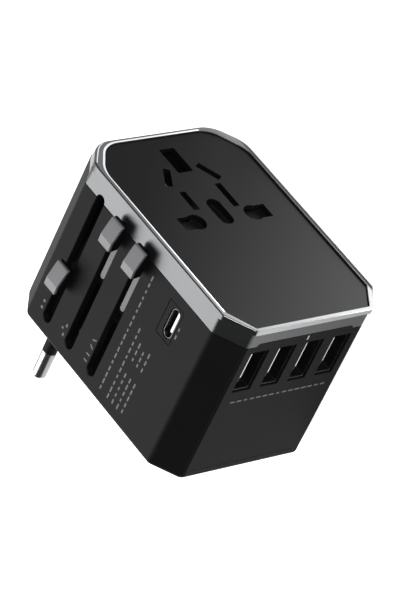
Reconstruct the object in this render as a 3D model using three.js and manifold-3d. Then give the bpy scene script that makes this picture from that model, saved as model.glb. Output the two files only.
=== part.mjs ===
// Universal travel adapter with sliding EU, UK and US/AU plugs, lying on its plain side.
// Millimetres. X runs to the earth end, Y from the socket face to the pin face, Z up to the sliders.

import * as THREE from 'three';
import { mergeVertices } from 'three/addons/utils/BufferGeometryUtils.js';
import Module from 'manifold-3d';

const wasm = await Module();
wasm.setup();

// ---- driving dimensions -------------------------------------------------------------------

const length = 71.8;
const depth = 51.8;
const width = 50.8;
const halfLength = length / 2;
const halfDepth = depth / 2;
const middleZ = width / 2;

const cornerCut = { x: 7.3, z: 5.9 };
const wall = 2;
const clearance = 0.3;

const rimRaise = 0.5;
const rimHeight = 1.5;
const usbSetback = 0.7;
const skirt = { thickness: 0.9, bottom: 6.0, cornerBottom: 3.2, usbBottom: 4.9, usbHalf: 16.4 };
const panel = { halfWidth: 23.8, topX: 34.6, usbX: -34.7, thickness: 1.6 };
const pinFace = depth - rimRaise;

const sliderX = { eu: 21.7, uk: 11.5, us: 1.3 };
const slot = { width: 3, from: 4.6, to: 46.9 };
const knob = { half: 2.3, lift: 0.9, capThickness: 0.8, stemFrom: 3.6, stemTo: 7.2 };
const knobStart = 3.9;
const euAdvance = 23.5;

const socket = { rowX: 3.6, earthX: 25.8, bladeX: 11.25, ovalX: 5.9, slantX: 20.2 };
const euPin = { x: 29.3, spread: 9.5, radius: 2, core: 1.2, bare: 9, tip: 76.8 };
const ukPin = { earthX: 16.5, lineX: -5.7, spread: 11.1, earthTip: 51.0, lineTip: 46.0 };
const usPin = { x: -14, spread: 6.35, bladeHeight: 6.35, bladeThickness: 1.5, tip: 48.3 };
const usbA = { pitch: 9.3, height: 5.7, width: 13.1, sheet: 0.35, from: 8.0, depth: 13.0 };
const lightZ = middleZ - 1.3;
const usbC = { x: -15.4, height: 3.3, width: 9, sheet: 0.3, from: 9.8, depth: 8 };

// ---- colours ------------------------------------------------------------------------------

const finish = (color, roughness, metalness) => ({ color, roughness, metalness });
const blackShell = finish(0x2b2b2d, 0.45, 0);
const glossPanel = finish(0x141416, 0.12, 0);
const graphiteFrame = finish(0x8f9092, 0.35, 0.7);
const greyCap = finish(0x9a9b9d, 0.5, 0);
const innerPlastic = finish(0x3a3a3c, 0.6, 0);
const nickel = finish(0xc9cbce, 0.25, 1);
const brass = finish(0xb5935a, 0.35, 1);
const steel = finish(0xaab0b5, 0.3, 1);
const boardGreen = finish(0x1f4a35, 0.5, 0);

// ---- geometry helpers ---------------------------------------------------------------------

const axisX = new THREE.Vector3(1, 0, 0);
const axisY = new THREE.Vector3(0, 1, 0);
const axisZ = new THREE.Vector3(0, 0, 1);

// Depths are measured from the socket panel's face towards the pins.
const atDepth = (value) => value - halfDepth + rimRaise;

function solidOf(geometry) {
  const bare = geometry.clone();
  bare.deleteAttribute('normal');
  bare.deleteAttribute('uv');
  const merged = mergeVertices(bare, 1e-4);
  const vertProperties = new Float32Array(merged.attributes.position.array);
  const triVerts = new Uint32Array(merged.index.array);
  return new wasm.Manifold(new wasm.Mesh({ numProp: 3, vertProperties, triVerts }));
}

function geometryOf(solid) {
  const mesh = solid.getMesh();
  const geometry = new THREE.BufferGeometry();
  geometry.setAttribute('position', new THREE.BufferAttribute(new Float32Array(mesh.vertProperties), 3));
  geometry.setIndex(new THREE.BufferAttribute(new Uint32Array(mesh.triVerts), 1));
  geometry.computeVertexNormals();
  return geometry;
}

function join(...solids) {
  return solids.reduce((whole, next) => whole.add(next));
}

function cut(whole, ...tools) {
  return tools.reduce((rest, tool) => rest.subtract(tool), whole);
}

// A flat outline in X and Z, pushed through the depths given.
function plate(shape, from, to, segments = 6) {
  const geometry = new THREE.ExtrudeGeometry(shape, {
    depth: to - from,
    bevelEnabled: false,
    curveSegments: segments,
  });
  const turn = new THREE.Matrix4().makeBasis(axisX, axisZ, axisY.clone().negate());
  geometry.applyMatrix4(turn);
  geometry.translate(0, atDepth(to), 0);
  return solidOf(geometry);
}

// An outline in Y and Z, pushed along X.
function sidePlate(shape, from, to) {
  const geometry = new THREE.ExtrudeGeometry(shape, { depth: to - from, bevelEnabled: false });
  const turn = new THREE.Matrix4().makeBasis(axisY, axisZ, axisX);
  geometry.applyMatrix4(turn);
  geometry.translate(from, 0, 0);
  return solidOf(geometry);
}

// An outline in X and Y, pushed up through the heights given.
function standUp(shape, low, high, segments = 6) {
  const geometry = new THREE.ExtrudeGeometry(shape, {
    depth: high - low,
    bevelEnabled: false,
    curveSegments: segments,
  });
  geometry.translate(0, 0, low);
  return solidOf(geometry);
}

// A box between X limits, depths and heights.
function block(x, deep, z) {
  const geometry = new THREE.BoxGeometry(x[1] - x[0], deep[1] - deep[0], z[1] - z[0]);
  geometry.translate((x[0] + x[1]) / 2, atDepth((deep[0] + deep[1]) / 2), (z[0] + z[1]) / 2);
  return solidOf(geometry);
}

// A body of revolution about Y: [radius, depth] pairs from axis to axis.
function turned(x, z, profile, segments = 20) {
  const points = profile.map(([radius, deep]) => new THREE.Vector2(radius, atDepth(deep)));
  const geometry = new THREE.LatheGeometry(points, segments);
  geometry.translate(x, 0, z);
  return solidOf(geometry);
}

function rod(x, z, radius, from, to, segments = 20) {
  return turned(x, z, [[0, from], [radius, from], [radius, to], [0, to]], segments);
}

function around(center, reach) {
  return [center - reach, center + reach];
}

// A polygon whose corners are rounded by the radius given with each point: [x, y, radius].
function roundedShape(points) {
  const shape = new THREE.Shape();
  points.forEach(([x, y, radius], index) => {
    const corner = new THREE.Vector2(x, y);
    const before = points[(index + points.length - 1) % points.length];
    const after = points[(index + 1) % points.length];
    const back = new THREE.Vector2(before[0], before[1]).sub(corner).normalize();
    const ahead = new THREE.Vector2(after[0], after[1]).sub(corner).normalize();
    const halfAngle = back.angleTo(ahead) / 2;
    const reach = radius / Math.tan(halfAngle);
    const start = back.multiplyScalar(reach).add(corner);
    const end = ahead.multiplyScalar(reach).add(corner);
    if (index === 0) shape.moveTo(start.x, start.y);
    else shape.lineTo(start.x, start.y);
    if (radius > 0) shape.quadraticCurveTo(corner.x, corner.y, end.x, end.y);
  });
  shape.closePath();
  return shape;
}

const polygon = (points) => roundedShape(points.map(([x, y]) => [x, y, 0]));

// ---- outlines -----------------------------------------------------------------------------

// The body's outline seen from the socket: a rectangle with four cut corners, moved in by inset.
function bodyOutline(inset, radius, setback = usbSetback) {
  const slant = Math.hypot(cornerCut.x, cornerCut.z);
  const normalX = cornerCut.z / slant;
  const normalZ = cornerCut.x / slant;
  const cutX = cornerCut.x - inset * (1 - (1 - normalZ) / normalX);
  const cutZ = cornerCut.z - inset * (1 - (1 - normalX) / normalZ);
  const left = -halfLength + setback + inset;
  const right = halfLength - inset;
  const low = inset;
  const high = width - inset;
  return roundedShape([
    [right, low + cutZ, radius],
    [right, high - cutZ, radius],
    [right - cutX, high, radius],
    [left + cutX, high, radius],
    [left, high - cutZ, radius],
    [left, low + cutZ, radius],
    [left + cutX, low, radius],
    [right - cutX, low, radius],
  ]);
}

// The socket panel's outline: broad round corners at the earth end, crisp cuts at the USB end.
function panelOutline(grow) {
  const low = middleZ - panel.halfWidth - grow;
  const high = middleZ + panel.halfWidth + grow;
  const right = panel.topX + grow;
  const left = panel.usbX - grow;
  return roundedShape([
    [right, low + 6.6, 8],
    [right, high - 6.6, 8],
    [right - 9, high, 9],
    [left + 7, high, 0.8],
    [left, high - 4.8, 0.8],
    [left, low + 4.8, 0.8],
    [left + 7, low, 0.8],
    [right - 9, low, 9],
  ]);
}

// A slot in the slider side, open through the wall, with round ends.
function sliderSlot(x, grow = 0) {
  const radius = slot.width / 2 + grow;
  const start = atDepth(slot.from) + slot.width / 2;
  const end = atDepth(slot.to) - slot.width / 2;
  const shape = new THREE.Shape();
  shape.absarc(x, start, radius, Math.PI, 2 * Math.PI);
  shape.absarc(x, end, radius, 0, Math.PI);
  shape.closePath();
  return standUp(shape, width - wall * 1.5, width + wall / 2);
}

// ---- socket openings ----------------------------------------------------------------------

// Everything that is cut through the socket panel: earth, live and neutral, blades, slants, oval.
function socketHoles() {
  const from = -1;
  const to = panel.thickness + 1;
  const slanted = (side) => {
    const lean = side * THREE.MathUtils.degToRad(30);
    const along = [Math.cos(lean) * 3.4, Math.sin(lean) * 3.4];
    const across = [-Math.sin(lean), Math.cos(lean)];
    const x = socket.slantX;
    const z = middleZ + side * 6.9;
    return polygon([
      [x + along[0] + across[0], z + along[1] + across[1]],
      [x - along[0] + across[0], z - along[1] + across[1]],
      [x - along[0] - across[0], z - along[1] - across[1]],
      [x + along[0] - across[0], z + along[1] - across[1]],
    ]);
  };
  const sideHole = (side) => roundedShape([
    [socket.rowX - 2.3, middleZ + side * 14.6, 0.3],
    [socket.rowX - 2.8, middleZ + side * 8.6, 1],
    [socket.rowX - 1, middleZ + side * 6.9, 0.8],
    [socket.rowX + 1, middleZ + side * 6.9, 0.8],
    [socket.rowX + 2.8, middleZ + side * 8.6, 1],
    [socket.rowX + 2.3, middleZ + side * 14.6, 0.3],
  ]);
  const oval = roundedShape([
    [socket.ovalX - 4.8, middleZ - 2.1, 2],
    [socket.ovalX - 4.8, middleZ + 2.1, 2],
    [socket.ovalX + 4.8, middleZ + 2.1, 2],
    [socket.ovalX + 4.8, middleZ - 2.1, 2],
  ]);
  const holes = [
    block(around(socket.earthX, 4.5), [from, to], around(middleZ, 2.45)),
    plate(oval, from, to),
  ];
  for (const side of [-1, 1]) {
    const reach = side < 0 ? 4.4 : 3.5;
    holes.push(plate(sideHole(side), from, to, 4));
    holes.push(plate(slanted(side), from, to));
    holes.push(block(around(socket.bladeX, reach), [from, to], around(middleZ + side * 6.35, 0.95)));
  }
  return join(...holes);
}

// ---- casing -------------------------------------------------------------------------------

const screwSpots = [
  [27.6, middleZ + 18.1],
  [27.6, middleZ - 18.1],
  [-26.9, middleZ + 18.1],
  [-26.9, middleZ - 18.1],
];
const usbWall = 3.2;
const coverThickness = 2;
const coverInside = pinFace - coverThickness;
const shellStart = panel.thickness + clearance;

// At the earth end's cut corners the frame stops short, and the shell comes up to meet it.
function cornerNotch(side, gap) {
  const edge = halfLength - cornerCut.x + gap;
  const shape = polygon([
    [edge + 0.1, atDepth(skirt.bottom + 1)],
    [edge + 0.1, atDepth(skirt.bottom)],
    [edge + 0.9, atDepth(skirt.cornerBottom + gap)],
    [halfLength + 1, atDepth(skirt.cornerBottom + gap)],
    [halfLength + 1, atDepth(skirt.bottom + 1)],
  ]);
  const reach = cornerCut.z - gap;
  return side > 0 ? standUp(shape, width - reach, width + 1) : standUp(shape, -1, reach);
}

// The rounded edge at the pin face is a stack of ever smaller outlines.
function shellBlank() {
  const radius = 2.2;
  const steps = 4;
  let blank = plate(bodyOutline(0, 2.4), skirt.bottom + clearance, pinFace - radius);
  for (let step = 0; step < steps; step += 1) {
    const middle = ((step + 0.5) / steps) * (Math.PI / 2);
    const from = pinFace - radius + radius * Math.sin((step / steps) * (Math.PI / 2));
    const to = pinFace - radius + radius * Math.sin(((step + 1) / steps) * (Math.PI / 2));
    blank = blank.add(plate(bodyOutline(radius * (1 - Math.cos(middle)), 2.4), from, to));
  }
  const neck = plate(bodyOutline(skirt.thickness + clearance, 1.6), shellStart, skirt.bottom + 1);
  const full = plate(bodyOutline(0, 2.4), skirt.cornerBottom, skirt.bottom + 1);
  const corners = [1, -1].map((side) => full.intersect(cornerNotch(side, clearance)));
  return join(blank, neck, ...corners);
}

function mainShell() {
  const inside = plate(bodyOutline(wall, 1.2), shellStart - 1, pinFace + 1, 3);
  const usbEnd = block(
    [-halfLength + usbSetback, -halfLength + usbSetback + usbWall],
    [skirt.bottom + 1, coverInside - clearance],
    [cornerCut.z + 1, width - cornerCut.z - 1],
  );
  const usbRecess = block(
    [-halfLength - 1, -halfLength + usbSetback + 1.8],
    [skirt.usbBottom - 1, pinFace - 3],
    [cornerCut.z + 0.2, width - cornerCut.z - 0.2],
  );
  const usbWindow = block(
    [-halfLength - 1, -halfLength + usbSetback + usbWall + 1],
    [usbA.from - 0.6, usbA.from + usbA.width + 0.6],
    around(middleZ, usbA.pitch * 1.5 + usbA.height / 2 + 0.6),
  );
  const coverSeat = plate(bodyOutline(wall + 0.1, 1.2), coverInside, pinFace + 1, 3);
  let shell = cut(shellBlank(), inside).add(usbEnd);
  for (const [x, z] of screwSpots) {
    const post = [36, coverInside - clearance];
    const rib = z > middleZ ? [z, width - wall / 2] : [wall / 2, z];
    shell = join(shell, rod(x, z, 2.2, ...post), block(around(x, 0.7), post, rib));
  }
  shell = cut(shell, coverSeat, usbRecess, usbWindow, usbCInsertBlank(clearance, wall + 1));
  for (const [x, z] of screwSpots) {
    shell = shell.subtract(rod(x, z, 1.4, 37, pinFace));
  }
  return cut(shell, ...Object.values(sliderX).map((x) => sliderSlot(x)));
}

function rearCover() {
  let cover = plate(bodyOutline(wall + 0.4, 1.4), coverInside, pinFace, 4);
  for (const [x, z] of screwSpots) {
    cover = cut(cover, rod(x, z, 1.4, coverInside - 1, pinFace + 1));
    cover = cut(cover, rod(x, z, 2.3, pinFace - 1.2, pinFace + 1));
  }
  for (const side of [-1, 1]) {
    cover = cut(cover, rod(euPin.x, middleZ + side * euPin.spread, euPin.radius + 0.4, 45, 55, 24));
    cover = cut(cover, ukHole(ukPin.lineX, middleZ + side * ukPin.spread, 3.97, 6.35));
    cover = cut(cover, ...bladeFan(side));
  }
  return cut(cover, ukHole(ukPin.earthX, middleZ, 7.95, 3.97));
}

function ukHole(x, z, sizeX, sizeZ) {
  return block(around(x, sizeX / 2 + 0.4), [45, 55], around(z, sizeZ / 2 + 0.4));
}

// The blades turn from upright to a slant, so their opening is a fan.
function bladeFan(side) {
  const steps = 5;
  const swing = THREE.MathUtils.degToRad(30);
  const fan = [];
  for (let step = 0; step < steps; step += 1) {
    const angle = (step / (steps - 1)) * swing * side;
    fan.push(turnedBlade(side, angle, 0.45, 45, 55));
  }
  return fan;
}

function turnedBlade(side, angle, grow, from, to) {
  const geometry = new THREE.BoxGeometry(
    usPin.bladeHeight + 2 * grow,
    to - from,
    usPin.bladeThickness + 2 * grow,
  );
  geometry.rotateY(angle);
  geometry.translate(usPin.x, atDepth((from + to) / 2), middleZ + side * usPin.spread);
  return solidOf(geometry);
}

function bezelFrame() {
  const rim = plate(bodyOutline(0, 1.5, 0), -rimRaise, rimHeight - rimRaise);
  const sleeve = plate(bodyOutline(0, 1.5), 0, skirt.bottom);
  const inner = plate(bodyOutline(skirt.thickness, 1.2), rimHeight - rimRaise, skirt.bottom + 1);
  const opening = plate(panelOutline(0.25), -rimRaise - 1, shellStart);
  const corners = [1, -1].map((side) => cornerNotch(side, 0));
  const usbMiddle = block(
    [-halfLength - 1, -halfLength + cornerCut.x],
    [skirt.usbBottom, skirt.bottom + 1],
    around(middleZ, skirt.usbHalf),
  );
  const slots = Object.values(sliderX).map((x) => sliderSlot(x));
  const frame = join(rim, sleeve);
  return cut(frame, inner, opening, usbMiddle, ...corners, ...slots);
}

function socketPanel() {
  return cut(plate(panelOutline(-0.05), 0, panel.thickness, 8), socketHoles());
}

// ---- USB end ------------------------------------------------------------------------------

const usbRow = [-1.5, -0.5, 0.5, 1.5].map((step) => middleZ - step * usbA.pitch);

function usbPanel() {
  const face = -halfLength + usbSetback;
  const seat = block(
    [face, face + 1.5],
    [skirt.usbBottom + clearance, pinFace - 3 - clearance],
    [cornerCut.z + 0.5, width - cornerCut.z - 0.5],
  );
  const ends = [-1, 1].map((side) => block(
    [face - 1, face + 2],
    [skirt.usbBottom - 1, skirt.bottom + clearance],
    side > 0 ? [middleZ + skirt.usbHalf - 0.4, width] : [0, middleZ - skirt.usbHalf + 0.4],
  ));
  const ports = usbRow.map((z) => block(
    [face - 1, face + 2],
    [usbA.from - clearance, usbA.from + usbA.width + clearance],
    around(z, usbA.height / 2 + clearance),
  ));
  const light = block([face - 1, face + 2], [5.7, 7], around(lightZ, 0.95));
  return cut(seat, ...ends, ...ports, light);
}

function usbAShell(z) {
  const face = -halfLength + usbSetback + 0.2;
  const outer = block(
    [face, face + usbA.depth],
    [usbA.from, usbA.from + usbA.width],
    around(z, usbA.height / 2),
  );
  const hollow = block(
    [face - 1, face + usbA.depth - 0.8],
    [usbA.from + usbA.sheet, usbA.from + usbA.width - usbA.sheet],
    around(z, usbA.height / 2 - usbA.sheet),
  );
  return outer.subtract(hollow);
}

function usbATongue(z) {
  const face = -halfLength + usbSetback + 1.8;
  return block(
    [face, face + 10.2],
    [usbA.from + 1.2, usbA.from + usbA.width - 1.2],
    [z + 0.1, z + 1.9],
  );
}

// A pill outline in X and depth, pushed along Z.
function pill(x, halfX, deep, z) {
  const radius = halfX * 0.98;
  const shape = roundedShape([
    [x - halfX, atDepth(deep[0]), radius],
    [x + halfX, atDepth(deep[0]), radius],
    [x + halfX, atDepth(deep[1]), radius],
    [x - halfX, atDepth(deep[1]), radius],
  ]);
  return standUp(shape, z[0], z[1]);
}

function usbCInsertBlank(grow, thickness) {
  return block(
    around(usbC.x + 0.6, 2.9 + grow),
    [usbC.from - 0.9 - grow, usbC.from + usbC.width + 0.9 + grow],
    [width - thickness, width + grow],
  );
}

function usbCInsert() {
  const mouth = pill(
    usbC.x,
    usbC.height / 2 + clearance,
    [usbC.from - clearance, usbC.from + usbC.width + clearance],
    [width - wall - 1, width + 1],
  );
  return usbCInsertBlank(-0.05, 1.6).subtract(mouth);
}

function usbCShell() {
  const top = width - 0.3;
  const ends = [usbC.from, usbC.from + usbC.width];
  const outer = pill(usbC.x, usbC.height / 2, ends, [top - usbC.depth, top]);
  const hollow = pill(
    usbC.x,
    usbC.height / 2 - usbC.sheet,
    [ends[0] + usbC.sheet, ends[1] - usbC.sheet],
    [top - usbC.depth + 0.8, top + 1],
  );
  return outer.subtract(hollow);
}

function usbCTongue() {
  const top = width - 1.4;
  return block(around(usbC.x, 0.35), [usbC.from + 1.3, usbC.from + usbC.width - 1.3], [top - 5.2, top]);
}

function lightPipe() {
  const face = -halfLength + usbSetback;
  return block([face, face + 1.6], [5.95, 6.75], around(lightZ, 0.7));
}

// ---- what is inside -----------------------------------------------------------------------

function mainBoard() {
  return block([-21.6, -20.2], [8.2, 48], [3, 47.6]);
}

function usbCBoard() {
  return block([-18.8, -17.6], [8.8, 20], [39, 48.2]);
}

function transformer() {
  const core = block([-31, -22], [25, 39.5], [16, 35]);
  const coil = block([-31.6, -22.6], [27.5, 37], [14.5, 36.5]);
  return core.add(coil);
}

// A round part that stands on the board and lies along X.
function standing(deep, z, radius, from, to) {
  const geometry = new THREE.CylinderGeometry(radius, radius, to - from, 20);
  geometry.rotateZ(Math.PI / 2);
  geometry.translate((from + to) / 2, atDepth(deep), z);
  return solidOf(geometry);
}

function fuse() {
  const barrel = new THREE.CylinderGeometry(2.5, 2.5, 20, 20);
  barrel.rotateX(Math.PI / 2);
  barrel.translate(-24.8, atDepth(43.6), middleZ);
  return solidOf(barrel);
}

// A sprung brass strip that grips the blade on one edge and the pin on the other.
function mainsContact(side) {
  const z = (reach) => middleZ + side * reach;
  const row = socket.rowX;
  const points = [
    [row + 12, z(8.0)],
    [row + 12, z(8.6)],
    [row + 4.3, z(8.6)],
    [row + 4.3, z(16.2)],
    [row - 4.3, z(16.2)],
    [row - 4.3, z(8.2)],
    [row - 3.7, z(8.2)],
    [row - 3.7, z(15.6)],
    [row + 3.7, z(15.6)],
    [row + 3.7, z(8.0)],
  ];
  return plate(polygon(points), 5.2, 19.9);
}

function earthContact() {
  const points = [
    [socket.earthX + 4.6, middleZ - 3.6],
    [socket.earthX + 4.6, middleZ - 3.0],
    [socket.earthX - 4.8, middleZ - 3.0],
    [socket.earthX - 4.8, middleZ + 3.0],
    [socket.earthX + 4.6, middleZ + 3.0],
    [socket.earthX + 4.6, middleZ + 3.6],
    [socket.earthX - 5.4, middleZ + 3.6],
    [socket.earthX - 5.4, middleZ - 3.6],
  ];
  return plate(polygon(points), 5.2, 19.9);
}

function contactCarrier() {
  const base = block([-16.5, 18.6], [20.2, 22.4], [2.3, 41.4]);
  const windows = [-1, 1].map((side) => block(
    around(socket.rowX, 2.6),
    [19, 24],
    around(middleZ + side * 11, 4.2),
  ));
  return cut(base, ...windows, block([-14, -6], [19, 24], [12, 38]));
}

function safetyShutter() {
  const shape = polygon([
    [-2.6, middleZ - 16.5],
    [16.1, middleZ - 16.5],
    [16.1, middleZ - 3.2],
    [0.2, middleZ - 3.2],
    [0.2, middleZ + 3.2],
    [16.1, middleZ + 3.2],
    [16.1, middleZ + 16.5],
    [-2.6, middleZ + 16.5],
  ]);
  const windows = [-1, 1].map((side) => block([6.9, 12.8], [2, 5], around(middleZ + side * 10.9, 4.3)));
  return cut(plate(shape, 2.9, 4.1), ...windows);
}

function coverScrew([x, z]) {
  return turned(x, z, [[0, 40], [1.1, 40], [1.1, 50.25], [2, 50.25], [2, 50.95], [1.5, 51.2], [0, 51.2]]);
}

// ---- sliders ------------------------------------------------------------------------------

// The thumb piece climbs towards the pins: [distance along it, height above the face].
const knobProfile = [[0, 2.7], [1.3, 3.1], [5.3, 4.1], [7.7, 4.0]];

function knobBand(x, start, bottomOf, topOf) {
  const along = (value) => atDepth(start + value);
  const top = knobProfile.map(([at, height]) => [along(at), width + topOf(height)]);
  const bottom = knobProfile.map(([at, height]) => [along(at), width + bottomOf(height)]).reverse();
  return sidePlate(polygon([...bottom, ...top]), x - knob.half, x + knob.half);
}

function knobCap(x, start) {
  return knobBand(x, start, (height) => height - knob.capThickness, (height) => height);
}

function knobBase(x, start) {
  const seam = knob.capThickness + clearance;
  const base = knobBand(x, start, () => knob.lift, (height) => height - seam);
  const stem = block(around(x, 1.1), [start + knob.stemFrom, start + knob.stemTo], [width - 4.9, width + 1.4]);
  return base.add(stem);
}

// The pocket in a carriage arm that the knob's stem presses into, with its spring below.
function stemPocket(x, start) {
  const along = [start + knob.stemFrom - clearance, start + knob.stemTo + clearance];
  return block(around(x, 1.4), along, [width - 7.2, width]);
}

function knobSpring(x, start) {
  const turns = 3.5;
  const points = [];
  for (let step = 0; step <= turns * 10; step += 1) {
    const angle = (step / 10) * 2 * Math.PI;
    const z = width - 6.75 + (step / (turns * 10)) * 1.35;
    points.push(new THREE.Vector3(
      x + 0.85 * Math.cos(angle),
      atDepth(start + (knob.stemFrom + knob.stemTo) / 2) + 0.85 * Math.sin(angle),
      z,
    ));
  }
  const section = new THREE.Shape();
  section.absarc(0, 0, 0.15, 0, 2 * Math.PI);
  return new THREE.ExtrudeGeometry(section, {
    steps: points.length - 1,
    extrudePath: new THREE.CatmullRomCurve3(points),
    curveSegments: 3,
  });
}

const armTop = width - wall - 0.9;

function euCarriage() {
  const start = knobStart + euAdvance;
  const x = sliderX.eu;
  const armBlock = block([x - 2.3, x + 3.2], [start + 2.4, start + 8.4], [armTop - 6, armTop]);
  const yoke = polygon([
    [x - 2.3, armTop],
    [x + 3.2, armTop],
    [x + 3.2, 40.8],
    [33.2, 40.8],
    [33.2, 12.6],
    [26.0, 12.6],
    [26.0, 19.2],
    [30.9, 19.2],
    [30.9, 31.6],
    [26.0, 31.6],
    [26.0, 38.0],
    [x - 2.3, 38.0],
  ]);
  let carriage = join(armBlock, plate(yoke, start + 3.2, start + 7));
  for (const side of [-1, 1]) {
    const pinZ = middleZ + side * euPin.spread;
    carriage = cut(carriage, rod(euPin.x, pinZ, euPin.core + 0.25, start, start + 9, 16));
  }
  return carriage.subtract(stemPocket(x, start));
}

function euPinRod(side) {
  const back = knobStart + euAdvance + 1.8;
  const tip = euPin.tip;
  const neck = tip - euPin.bare;
  return turned(euPin.x, middleZ + side * euPin.spread, [
    [0, back],
    [1.9, back],
    [1.9, back + 1],
    [euPin.core, back + 1],
    [euPin.core, neck],
    [euPin.radius, neck + 0.3],
    [euPin.radius, tip - 1.6],
    [1.75, tip - 0.8],
    [1.1, tip - 0.2],
    [0, tip],
  ]);
}

function euSleeve(side) {
  const from = knobStart + euAdvance + 7.3;
  const to = euPin.tip - euPin.bare - clearance;
  return turned(euPin.x, middleZ + side * euPin.spread, [
    [euPin.core + 0.25, from],
    [euPin.radius, from],
    [euPin.radius, to],
    [euPin.core + 0.25, to],
    [euPin.core + 0.25, from],
  ]);
}

function ukCarriage() {
  const x = sliderX.uk;
  const arm = block([x - 2.8, x + 2.6], [knobStart + 2, 25.9], [armTop - 5.4, armTop]);
  const plateDepth = [23.2, 25.9];
  const link = block([x - 2.8, x + 2.6], plateDepth, [middleZ, armTop]);
  const spine = block([-8.2, 20.9], plateDepth, around(middleZ, 3.2));
  const bar = block([-8.2, -3.2], plateDepth, around(middleZ, 15.6));
  let carriage = join(arm, link, spine, bar);
  const holeDepth = [20, 30];
  carriage = cut(carriage, block(around(ukPin.earthX, 3), holeDepth, around(middleZ, 1.6)));
  for (const side of [-1, 1]) {
    const pinZ = middleZ + side * ukPin.spread;
    carriage = cut(carriage, block(around(ukPin.lineX, 1.6), holeDepth, around(pinZ, 2.2)));
  }
  return carriage.subtract(stemPocket(x, knobStart));
}

// A British pin: a bar with a chamfered tip, on a thinner tail that passes through the carriage.
function ukPinBar(x, z, sizeX, sizeZ, tip, tail) {
  const front = 25.9 + clearance;
  const taper = 1.2;
  const body = block(around(x, sizeX / 2), [front, tip - taper], around(z, sizeZ / 2));
  const nose = new THREE.BoxGeometry(sizeX, taper, sizeZ);
  const position = nose.attributes.position;
  for (let index = 0; index < position.count; index += 1) {
    if (position.getY(index) > 0) {
      position.setX(index, position.getX(index) * (1 - 1.6 / sizeX));
      position.setZ(index, position.getZ(index) * (1 - 1.6 / sizeZ));
    }
  }
  nose.translate(x, atDepth(tip - taper / 2), z);
  const root = block(around(x, tail[0]), [22.9, front + 1], around(z, tail[1]));
  return join(body, solidOf(nose), root);
}

function latchTongue(x, to) {
  const shape = roundedShape([
    [x - 1.15, atDepth(12), 0.1],
    [x + 0.65, atDepth(12), 0.1],
    [x + 0.65, atDepth(to), 0.85],
    [x - 1.15, atDepth(to), 0.85],
  ]);
  return standUp(shape, armTop + clearance, armTop + clearance + 2, 5);
}

function usCarriage() {
  const x = sliderX.us;
  const arm = block([x - 2.8, x + 2.6], [knobStart + 2, 28], [armTop - 5, armTop]);
  const plateDepth = [25, 28];
  const rail = block([-12.6, x + 2.6], plateDepth, [armTop - 5, armTop]);
  const link = block([-12.6, -8.9], plateDepth, [middleZ + 10, armTop]);
  const base = block([-19.4, -8.9], plateDepth, around(middleZ, 11.8));
  const turrets = [-1, 1].map((side) => rod(usPin.x, middleZ + side * usPin.spread, 4.5, 20, 30, 28));
  return cut(join(arm, rail, link, base), ...turrets, stemPocket(x, knobStart));
}

function usTurret(side) {
  const z = middleZ + side * usPin.spread;
  const drum = rod(usPin.x, z, 4.2, 24.8, 27.9, 28);
  return drum.subtract(turnedBlade(side, 0, clearance, 20, 30));
}

// A flat American blade with its corners and end chamfered.
function usBlade(side) {
  const half = usPin.bladeHeight / 2;
  const shape = polygon([
    [usPin.x - half, atDepth(23.8)],
    [usPin.x + half, atDepth(23.8)],
    [usPin.x + half, atDepth(usPin.tip - 1.4)],
    [usPin.x + half - 1.4, atDepth(usPin.tip)],
    [usPin.x - half + 1.4, atDepth(usPin.tip)],
    [usPin.x - half, atDepth(usPin.tip - 1.4)],
  ]);
  const low = middleZ + side * usPin.spread - usPin.bladeThickness / 2;
  return standUp(shape, low, low + usPin.bladeThickness);
}

// ---- assembly -----------------------------------------------------------------------------

const adapter = new THREE.Group();

function add(name, shape, look) {
  const geometry = shape.isBufferGeometry ? shape : geometryOf(shape);
  const mesh = new THREE.Mesh(geometry, new THREE.MeshStandardMaterial(look));
  mesh.name = name;
  adapter.add(mesh);
}

const sideName = (side) => (side > 0 ? 'left' : 'right');

add('main_shell', mainShell(), blackShell);
add('rear_cover', rearCover(), blackShell);
add('bezel_frame', bezelFrame(), graphiteFrame);
add('socket_panel', socketPanel(), glossPanel);
add('safety_shutter', safetyShutter(), innerPlastic);
add('contact_carrier', contactCarrier(), innerPlastic);
add('line_contact', mainsContact(-1), brass);
add('neutral_contact', mainsContact(1), brass);
add('earth_contact', earthContact(), brass);
screwSpots.forEach((spot, index) => add(`cover_screw_${index + 1}`, coverScrew(spot), steel));

add('usb_panel', usbPanel(), glossPanel);
add('status_light_pipe', lightPipe(), finish(0xdfe6ea, 0.3, 0));
usbRow.forEach((z, index) => {
  add(`usb_a_shell_${index + 1}`, usbAShell(z), nickel);
  add(`usb_a_tongue_${index + 1}`, usbATongue(z), innerPlastic);
});
add('usb_c_insert', usbCInsert(), blackShell);
add('usb_c_shell', usbCShell(), nickel);
add('usb_c_tongue', usbCTongue(), innerPlastic);

add('main_board', mainBoard(), boardGreen);
add('usb_c_board', usbCBoard(), boardGreen);
add('transformer', transformer(), finish(0xc9a23a, 0.5, 0));
add('capacitor_1', standing(28, middleZ + 15.8, 3.6, -31.4, -21.9), finish(0x26364f, 0.4, 0));
add('capacitor_2', standing(28, middleZ - 15.8, 3.6, -31.4, -21.9), finish(0x26364f, 0.4, 0));
add('fuse', fuse(), finish(0xe8e4da, 0.3, 0));

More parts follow.
